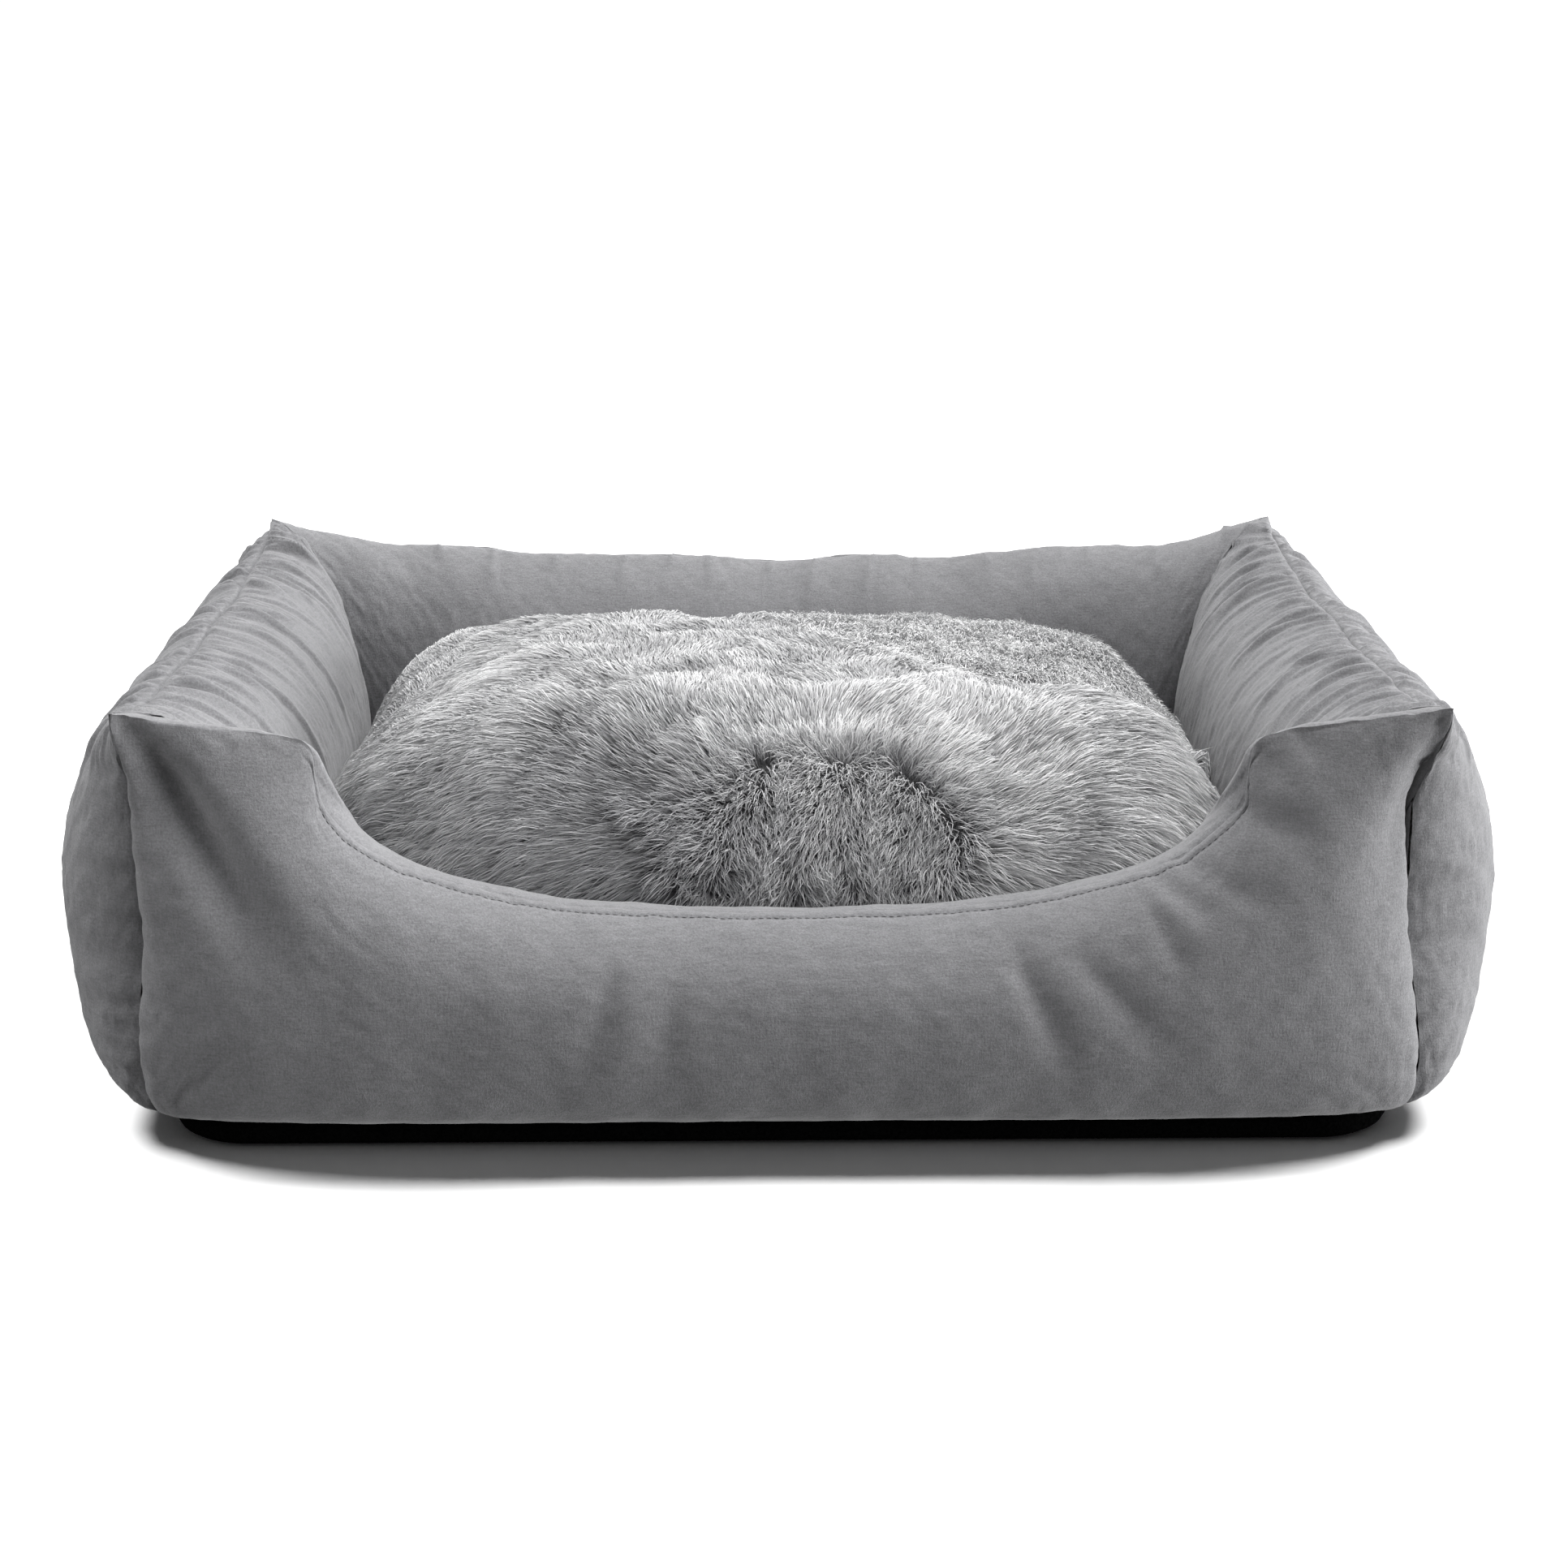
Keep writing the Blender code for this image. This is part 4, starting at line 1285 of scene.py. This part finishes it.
# %% Nearest place on a wall
wall_points, wall_faces = [], []
for made in finished.values():
    inner = made["net"][::3, SEAM_ROW::3]
    offset = sum(len(p) for p in wall_points)
    wall_points.append(inner.reshape(-1, 3))
    wall_faces += (net_faces(*inner.shape[:2]) + offset).tolist()
wall_tree = BVHTree.FromPolygons(np.concatenate(wall_points).tolist(), wall_faces)


SEARCH = 0.05               # how far from a point a wall still matters


def clear_of_walls(point, margin):
    """The point moved a margin clear of the walls, or None if it already is."""
    place, normal = wall_tree.find_nearest(Vector(point), SEARCH)[:2]
    if place is None:
        return None
    out = np.array(normal)
    if out[:2] @ point[:2] > 0:
        out = -out
    depth = (np.array(point) - np.array(place)) @ out
    return None if depth > margin - 0.0002 else np.array(place) + out * margin


print("wall faces to stay clear of:", len(wall_faces))

# %% Shape the pelt and cut it from the underside
PELT_MARGIN = 0.004
shape = cushion_points.copy()
for axis, reach in enumerate((CUSHION_X + 0.001, CUSHION_Y + 0.001)):
    shape[:, axis] = np.clip(shape[:, axis], -reach, reach)
above = rise_over(shape[:, 2], 0.14, 0.19)
x, y = shape[:, 0], shape[:, 1]
shape[:, 2] += above * (lobes(x, y) - 0.016 * rise_over(x, 0.05, 0.30)
                        + 0.004 * np.exp(-((x + 0.06) / 0.13) ** 2)
                        + 0.0020 * ripple(x, y, 0.16, 8, 51))
shape[:, 2] = np.maximum(shape[:, 2], REST_HEIGHT + 0.0004)
for i in np.nonzero((np.abs(x) > 0.27) | (np.abs(y) > 0.17))[0]:
    moved_in = clear_of_walls(shape[i], PELT_MARGIN)
    if moved_in is not None:
        shape[i, :2] = moved_in[:2]
zip_zone = (rise_over(y, 0.18, 0.20) * (1 - rise_over(np.abs(x), 0.192, 0.215))
            * rise_over(shape[:, 2], ZIP_LOW.z - 0.012, ZIP_LOW.z)
            * (1 - rise_over(shape[:, 2], ZIP_HIGH.z, ZIP_HIGH.z + 0.012)))
flat_y = np.minimum(shape[:, 1], ZIP_LOW.y - 0.0022)
shape[:, 1] = shape[:, 1] * (1 - zip_zone) + flat_y * zip_zone
cushion_blank.data.vertices.foreach_set("co", shape.ravel())
cushion_blank.data.update()
evener = cushion_blank.modifiers.new("evener", "SMOOTH")
evener.factor = 0.5
evener.iterations = 10
round_out = cushion_blank.modifiers.new("smoother", "SUBSURF")
round_out.levels = round_out.render_levels = 1
whole = worked_mesh(cushion_blank)
bpy.data.objects.remove(cushion_blank)


def half_of(whole, name, keep_above, material):
    """The part of a closed mesh above or below the cushion's seam, as its own piece."""
    work = bmesh.new()
    work.from_mesh(whole)
    bmesh.ops.bisect_plane(work, geom=work.verts[:] + work.edges[:] + work.faces[:],
                           plane_co=(0, 0, FUR_SEAM), plane_no=(0, 0, 1),
                           clear_outer=not keep_above, clear_inner=keep_above)
    mesh = bpy.data.meshes.new(name)
    work.to_mesh(mesh)
    work.free()
    return show(name, mesh, material, "cushion")


pelt = half_of(whole, "cushion_pelt_backing", True, backing)
stands_for(pelt, "cushion_fur_top")
under = half_of(whole, "cushion_underside_lining", False, lining)
stands_for(under, "cushion_underside")

INSIDE_COVER = 0.955
inner_middle = np.array([0.0, 0.0, FUR_SEAM])
inner_points = inner_middle + (points_of(whole) - inner_middle) * INSIDE_COVER
whole.vertices.foreach_set("co", inner_points.ravel())
batt = show("cushion_wadding", whole, wadding, "cushion")
batt.modifiers.new("fewer_faces", "DECIMATE").ratio = 0.25
batt.data = worked_mesh(batt)
batt.modifiers.clear()
stands_for(batt, "cushion_fill")
print("pelt", len(pelt.data.polygons), "underside", len(under.data.polygons), "faces")

# %% [markdown]
# ## Growing the pile
#
# Fur could be Blender's hair, but hair strands don't survive as geometry. So each tuft is
# a narrow ribbon of three quads, tapering to its tip. Roots are spread evenly over the
# pelt. The pile has been brushed outward from a whorl on the front slope; there the tufts
# are short and stand up, so one looks down between them to the dark roots. Over the right
# rear the pile is short and curly.

# %% Spread the roots
TUFTS = 250000


def spread_roots(piece, count):
    """Points and normals spread evenly over a piece's faces."""
    mesh = piece.data
    mesh.calc_loop_triangles()
    corners = np.empty(len(mesh.loop_triangles) * 3, int)
    mesh.loop_triangles.foreach_get("vertices", corners)
    corners = corners.reshape(-1, 3)
    points, normals = points_of(mesh), points_of(mesh, "normal")
    a, b, c = (points[corners[:, k]] for k in range(3))
    area = np.linalg.norm(np.cross(b - a, c - a), axis=1)
    picked = chance.choice(len(corners), count, p=area / area.sum())
    p, q = chance.random(count), chance.random(count)
    over = p + q > 1
    p[over], q[over] = 1 - p[over], 1 - q[over]
    weights = np.stack([1 - p - q, p, q], 1)[:, :, None]
    root = (points[corners[picked]] * weights).sum(1)
    normal = (normals[corners[picked]] * weights).sum(1)
    return root, unit(normal)


roots, root_normals = spread_roots(pelt, TUFTS)
print("roots:", len(roots))

# %% Length, lean and colour of the pile at each root
WHORL = np.array([0.030, -0.190, 0.150])
WHORL_SIZE = (0.085, 0.080, 0.050)
PILE_LENGTH = 0.033


def pile_at(root):
    """Length, combing direction, lean, curl and tint of the pile at each root, with painted
    shade in the tint.
    """
    x, y, z = root.T
    off = root - WHORL
    away = np.linalg.norm(off / WHORL_SIZE, axis=1)
    # The whorl has an uneven rim; the curly part lies behind a wandering edge at the right.
    whorl = 1 - rise_over(away + 0.16 * ripple(x, z, 0.05, 6, 80), 0.70, 1.30)
    edge = np.interp(x, [-0.30, -0.04, 0.02, 0.10, 0.19, 0.30],
                     [0.30, 0.20, 0.06, -0.06, -0.035, -0.005])
    curly = rise_over(y - edge, -0.012, 0.020) * rise_over(x, -0.06, 0.02)
    left = rise_over(-x, 0.10, 0.26)
    length = PILE_LENGTH + 0.004 * ripple(x, y, 0.07, 8, 81)
    length = length * (1 - 0.52 * whorl) * (1 - 0.58 * curly) * (1 - 0.30 * left)
    # Combed away from the whorl, evenly across its width, and turned a little here and there.
    off[:, 0] -= 0.8 * np.clip(off[:, 0], -0.06, 0.06)
    comb = unit(off * (1.0, 1.0, 0.9))
    turn = 0.45 * ripple(x, y, 0.11, 6, 82)
    comb = np.stack([comb[:, 0] * np.cos(turn) - comb[:, 1] * np.sin(turn),
                     comb[:, 0] * np.sin(turn) + comb[:, 1] * np.cos(turn),
                     comb[:, 2]], 1)
    # In the short plush parts the tufts are brushed down the front instead.
    swirl = 0.45 * ripple(x, z - y, 0.040, 7, 86) - 1.75
    swirl = np.stack([np.cos(swirl), np.sin(swirl), 0.2 * np.cos(swirl)], 1)
    plush = np.maximum(whorl, 0.8 * curly)[:, None]
    comb = unit(comb * (1 - plush) + swirl * plush)
    lean = np.clip(0.80 - 0.34 * whorl - 0.34 * curly + 0.06 * ripple(x, y, 0.05, 6, 83),
                   0.12, 0.92)
    parting = 4 * whorl * (1 - whorl)       # where long and short pile meet
    lean = lean - 0.30 * parting
    curl = 0.08 + 0.50 * curly + 0.52 * whorl + 0.20 * parting
    # Tints: paler at the left, darker in the whorl and at the rear. Low at the front left a
    # painted shade darkens the pile, where the slope lies in shadow.
    rear_shade = rise_over(y, 0.0, 0.12) * rise_over(x, -0.14, 0.0)
    # painted shade: the tint is darkened low on the front-left slope, which lies in shadow
    front_left_painted_shade = rise_over(-y, 0.09, 0.19) * rise_over(-x, -0.02, 0.08)
    tint_and_shade = (0.78 + 0.12 * ripple(x, y, 0.06, 7, 84) + 0.09 * ripple(x, y, 0.022, 8, 85)
            - 0.10 * rear_shade - 0.32 * whorl + 0.36 * left + 0.02 * curly
            - 0.80 * front_left_painted_shade)
    return length, comb, lean, curl, tint_and_shade


print("whorl at", WHORL)

# %% [markdown]
# Tufts gather into locks because the fibres cling. One tuft in eight leads, and every
# other tuft is drawn towards the nearest leader, more and more up its length, which leaves
# the dark partings between locks. Last, no tip may enter a wall. Cutting tufts short would
# leave bare patches that show when the cushion is lifted out, so a tuft that would run
# into a wall is laid along it at its full length instead.

# %% Shape the tufts
LEVELS = np.array([0.0, 0.34, 0.68, 1.0])


def tuft_paths(root, normal, seed):
    """Four points up each tuft, from its root to its tip."""
    source = np.random.default_rng(seed)
    length, comb, lean, curl, tint_and_shade = pile_at(root)
    length = length * source.uniform(0.72, 1.12, len(root))
    flat = unit(comb - normal * (comb * normal).sum(1, keepdims=True))
    side = np.cross(normal, flat)
    stray = source.normal(0, 0.16, len(root))[:, None] + curl[:, None] * source.normal(
        0, 0.9, len(root))[:, None]
    heading = unit(flat + side * stray)
    paths = [root - normal * 0.0015]
    point = root
    for k in range(1, len(LEVELS)):
        bend = np.clip(lean + 0.30 * (LEVELS[k] - 0.5), 0.05, 0.97)[:, None]
        kink = source.normal(0, 1, root.shape) * (curl * 0.42)[:, None]
        step = unit(normal * (1 - bend) + heading * bend + kink)
        point = point + step * (length * (LEVELS[k] - LEVELS[k - 1]))[:, None]
        point = point - np.array([0, 0, 0.0006]) * (k * k) * (1 - curl[:, None])
        paths.append(point)
    return np.stack(paths, 1), tint_and_shade, curl


paths, tints_and_shade, curls = tuft_paths(roots, root_normals, 91)
leader_count = TUFTS // 8
leader_tree = KDTree(leader_count)
for i in range(leader_count):
    leader_tree.insert(Vector(roots[i]), i)
leader_tree.balance()
leader = np.array([leader_tree.find(Vector(p))[1] for p in roots])
cling = (0.66 * (1 - 1.15 * curls))[:, None, None] * (LEVELS ** 1.3)[None, :, None]
paths = paths + (paths[leader] - paths) * cling
lock_tint = chance.normal(0, 0.11, leader_count)
tints_and_shade = np.clip(tints_and_shade + lock_tint[leader] + chance.normal(0, 0.16, TUFTS), 0.02, 0.98)
print("locks:", leader_count)

# %% Keep the tips out of the walls
MIN_ROOM = 0.0015           # the gap that a pressed tuft keeps from the wall


def press_back(paths, root):
    """Tufts that would run into a wall are laid along it instead, at their full length."""
    close = np.nonzero((np.abs(root[:, 0]) > 0.25) | (np.abs(root[:, 1]) > 0.15))[0]
    out, gap = np.zeros((len(close), 3)), np.full(len(close), 0.1)
    for n, i in enumerate(close):
        place, normal, _, distance = wall_tree.find_nearest(Vector(root[i]), SEARCH)
        if place is not None:
            out[n], gap[n] = normal, distance
    flip = (out[:, :2] * root[close, :2]).sum(1) > 0
    out[flip] *= -1
    run = paths[close] - root[close, None]
    reach = -(run * out[:, None]).sum(2)
    room = np.clip(gap - MIN_ROOM, 0, None)
    keep = np.clip(room / np.maximum(reach[:, -1], 1e-6), 0, 1)[:, None]
    kept = np.where(reach > 0, reach * keep, reach)
    whole = np.linalg.norm(run, axis=2)
    flat = run + out[:, None] * reach[:, :, None]
    flat[:, :, 2] -= 0.25 * whole * (1 - keep)
    flat = unit(flat) * np.sqrt(np.maximum(whole ** 2 - kept ** 2, 0))[:, :, None]
    pressed = flat - out[:, None] * kept[:, :, None]
    paths[close] = root[close, None] + np.where(keep[:, :, None] < 1, pressed, run)
    return paths


paths = press_back(paths, roots)
TIP_MARGIN = 0.0008
BESIDE_WALL = 0.022         # tufts this near a wall are looked at point by point
near_wall = ((np.abs(paths[:, :, 0]) > PEAK_X - WALL_DEPTH - BESIDE_WALL)
             | (np.abs(paths[:, :, 1]) > PEAK_Y - WALL_DEPTH - BESIDE_WALL))
moved = 0
for i, k in np.argwhere(near_wall):
    back = clear_of_walls(paths[i, k], TIP_MARGIN)
    if back is not None:
        paths[i, k] = back
        moved += 1
print("moved", moved, "points out of the walls")

# %% Ribbons from the paths
WIDTHS = np.array([0.00034, 0.00032, 0.00023, 0.00004])      # half widths, root to tip
TINT_WIDTH = 0.002          # how much of the tint map a tuft is wide


def grow(name, paths, tints_and_shade, normals):
    """One piece of pile: a ribbon of three quads for each tuft."""
    count = len(paths)
    ahead = unit(np.gradient(paths, axis=1))
    roll = chance.uniform(-1.2, 1.2, count)[:, None, None]
    side = unit(np.cross(ahead, normals[:, None, :]))
    face = np.cross(side, ahead)
    side = side * np.cos(roll) + face * np.sin(roll)
    ribbon = np.stack([paths - side * WIDTHS[None, :, None],
                       paths + side * WIDTHS[None, :, None]], 2)
    quads = np.array([[2 * k, 2 * k + 1, 2 * k + 3, 2 * k + 2] for k in range(3)])
    loops = (quads[None] + (np.arange(count) * 8)[:, None, None]).reshape(-1)
    mesh = bpy.data.meshes.new(name)
    mesh.vertices.add(count * 8)
    mesh.vertices.foreach_set("co", ribbon.reshape(-1).astype(np.float32))
    mesh.loops.add(len(loops))
    mesh.loops.foreach_set("vertex_index", loops.astype(np.int32))
    mesh.polygons.add(count * 3)
    mesh.polygons.foreach_set("loop_start", np.arange(0, len(loops), 4, dtype=np.int32))
    uv = mesh.uv_layers.new(name="OFBake")
    across = np.array([[-1, 1, 1, -1]] * 3) * TINT_WIDTH
    up = np.array([[LEVELS[k], LEVELS[k], LEVELS[k + 1], LEVELS[k + 1]] for k in range(3)])
    u = tints_and_shade[:, None, None] + across[None]
    v = np.broadcast_to(0.01 + 0.98 * up[None], u.shape)
    uv.data.foreach_set("uv", np.stack([u, v], -1).reshape(-1).astype(np.float32))
    mesh.update()
    mesh.validate()
    show(name, mesh, pile, "cushion")


BATCH = 27500               # tufts in one piece
for number, first in enumerate(range(0, TUFTS, BATCH), 1):
    part = slice(first, first + BATCH)
    grow(f"cushion_fur_pile_{number}", paths[part], tints_and_shade[part], root_normals[part])
print("fur grown in", number, "pieces")

# %% [markdown]
# ## The cushion's zip
#
# A nylon coil zip closes the cover: two woven tapes, a coil of small loops sewn to each,
# and a cast zinc slider with a pull tab. Two folded cloth welts half cover the tapes.

# %% Woven tapes
def lump(name, profile, axis_x, material, body):
    """A bar along x with a rounded profile of (y, z) points."""
    net = np.array([[(x, py, pz) for py, pz in profile] for x in axis_x])
    return make_piece(name, net, tube_faces(*net.shape[:2]), material, body)


def wave_rows(piece, amount, per_metre, shift=0.0):
    """Make a bar along x softly uneven in y."""
    points = points_of(piece.data)
    points[:, 1] += amount * np.sin(points[:, 0] * per_metre + shift)
    piece.data.vertices.foreach_set("co", points.ravel())


for name in ("zip_upper_tape", "zip_lower_tape"):
    low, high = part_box(name)
    x = np.linspace(low.x, high.x, 181)
    weave = np.linspace(low.z, high.z, 9)
    front_face = [(high.y, z) for z in weave]
    rear_face = [(low.y, z) for z in weave[::-1]]
    tape = lump(name + "_cloth", front_face + rear_face, x, tape_weave, "cushion")
    wave_rows(tape, 0.00012, 2 * math.pi / 0.021)
    stands_for(tape, name)

print("tapes", round(high.x - low.x, 3), "m long")

# %% Nylon coil
teeth_low, teeth_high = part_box("zip_teeth")
pitch = 0.0013              # a common number 5 coil
links = int((teeth_high.x - teeth_low.x) / pitch)
profile_steps = np.linspace(0, 2 * math.pi, 7)[:-1]
points, faces = [], []
for i in range(links):
    for row in (-1, 1):
        centre_x = teeth_low.x + pitch * (i + 0.5 + 0.25 * row)
        tip = ZIP_MIDDLE - row * 0.0006
        heel = ZIP_MIDDLE + row * 0.0025
        first = len(points)
        for share, swell in ((0.0, 0.7), (0.2, 1.0), (0.75, 1.0), (1.0, 0.5)):
            z = tip + (heel - tip) * share
            for turn in profile_steps:
                points.append((centre_x + 0.00034 * swell * math.cos(turn),
                               (teeth_low.y + teeth_high.y) / 2
                               + 0.0005 * swell * math.sin(turn), z))
        faces += [[corner + first for corner in face] for face in tube_faces(4, 6)]
coil = make_piece("zip_coil", points, faces, nylon, "cushion")
stands_for(coil, "zip_teeth")

print("coil with", 2 * links, "loops")

# %% Cloth welts
WELT_HALF = 0.192
for name, row in (("zip_upper_welt", 1), ("zip_lower_welt", -1)):
    x = np.linspace(-WELT_HALF, WELT_HALF, 193)
    edge = ZIP_MIDDLE + row * 0.0036
    reach = 0.0125
    base_y = ZIP_LOW.y
    profile = []
    for share in np.linspace(0, 1, 7):
        profile.append((base_y + 0.0024 - 0.0052 * share ** 3, edge + row * reach * share))
    profile = ([(base_y + 0.0009, edge + row * 0.0006), (base_y + 0.0011, edge),
                (base_y + 0.0019, edge - row * 0.0004)] + profile
               + [(base_y - 0.0036, edge + row * reach), (base_y - 0.0020, edge + row * 0.006)])
    wave_rows(lump(name, profile, x, lining, "cushion"), 0.00018, 230, row)
    line = np.stack([x, np.full_like(x, base_y + 0.00235),
                     np.full_like(x, edge + row * 0.0032)], 1)
    stitches_on(name + "_stitches", line, np.tile([0.0, 1.0, 0.0], (len(x), 1)), "cushion",
                stitch=0.0028, gap=0.0010, radius=0.0003)

print("two welts, each", 2 * WELT_HALF, "m long")

# %% Cast slider and its pull tab
low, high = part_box("zip_slider")
middle = (low + high) / 2
HALF_LENGTH, HALF_HEIGHT = 0.0058, 0.0036
plate = []
for turn in np.linspace(0, 2 * math.pi, 33)[:-1]:
    ahead, up = math.cos(turn), math.sin(turn)
    shoulder = 1.0 if ahead > 0 else 0.82
    plate.append((middle.x + HALF_LENGTH * np.sign(ahead) * abs(ahead) ** 0.55,
                  middle.z + HALF_HEIGHT * shoulder * np.sign(up) * abs(up) ** 0.6))
plate = np.array(plate)
work = bmesh.new()


def add_plate(outline, near, far, edge):
    """A cast plate with rounded edges, between two depths."""
    centre = outline.mean(0)
    layers = []
    for y, shrink in ((near, 1 - edge), (near + 0.0002, 1.0), (far - 0.0002, 1.0),
                      (far, 1 - edge)):
        loop = centre + (outline - centre) * shrink
        layers.append([work.verts.new((px, y, pz)) for px, pz in loop])
    for one, two in zip(layers, layers[1:]):
        for i in range(len(one)):
            j = (i + 1) % len(one)
            work.faces.new((one[i], one[j], two[j], two[i]))
    work.faces.new(layers[0])
    work.faces.new(layers[-1][::-1])


add_plate(plate, low.y, low.y + 0.0008, 0.06)
bridge = np.array([middle.x, middle.z]) + (plate - (middle.x, middle.z)) * (0.42, 0.30)
add_plate(bridge, low.y + 0.0007, low.y + 0.0017, 0.10)
tab = np.array([(low.x + 0.0085 + 0.0030 * math.cos(a) * (1.3 if math.cos(a) < 0 else 1),
                 middle.z - 0.0012 + 0.0026 * math.sin(a)) for a in
                np.linspace(0, 2 * math.pi, 25)[:-1]])
tab[:, 0] -= 0.0030
add_plate(tab, low.y + 0.0016, high.y - 0.0001, 0.08)
bmesh.ops.recalc_face_normals(work, faces=work.faces)
mesh = bpy.data.meshes.new("zip_slider_casting")
work.to_mesh(mesh)
work.free()
slider = show("zip_slider_casting", mesh, zinc, "zip_slider")
mesh.set_sharp_from_angle(angle=math.radians(35))
stands_for(slider, "zip_slider")
print("slider", [round(1000 * size, 1) for size in high - low], "mm")
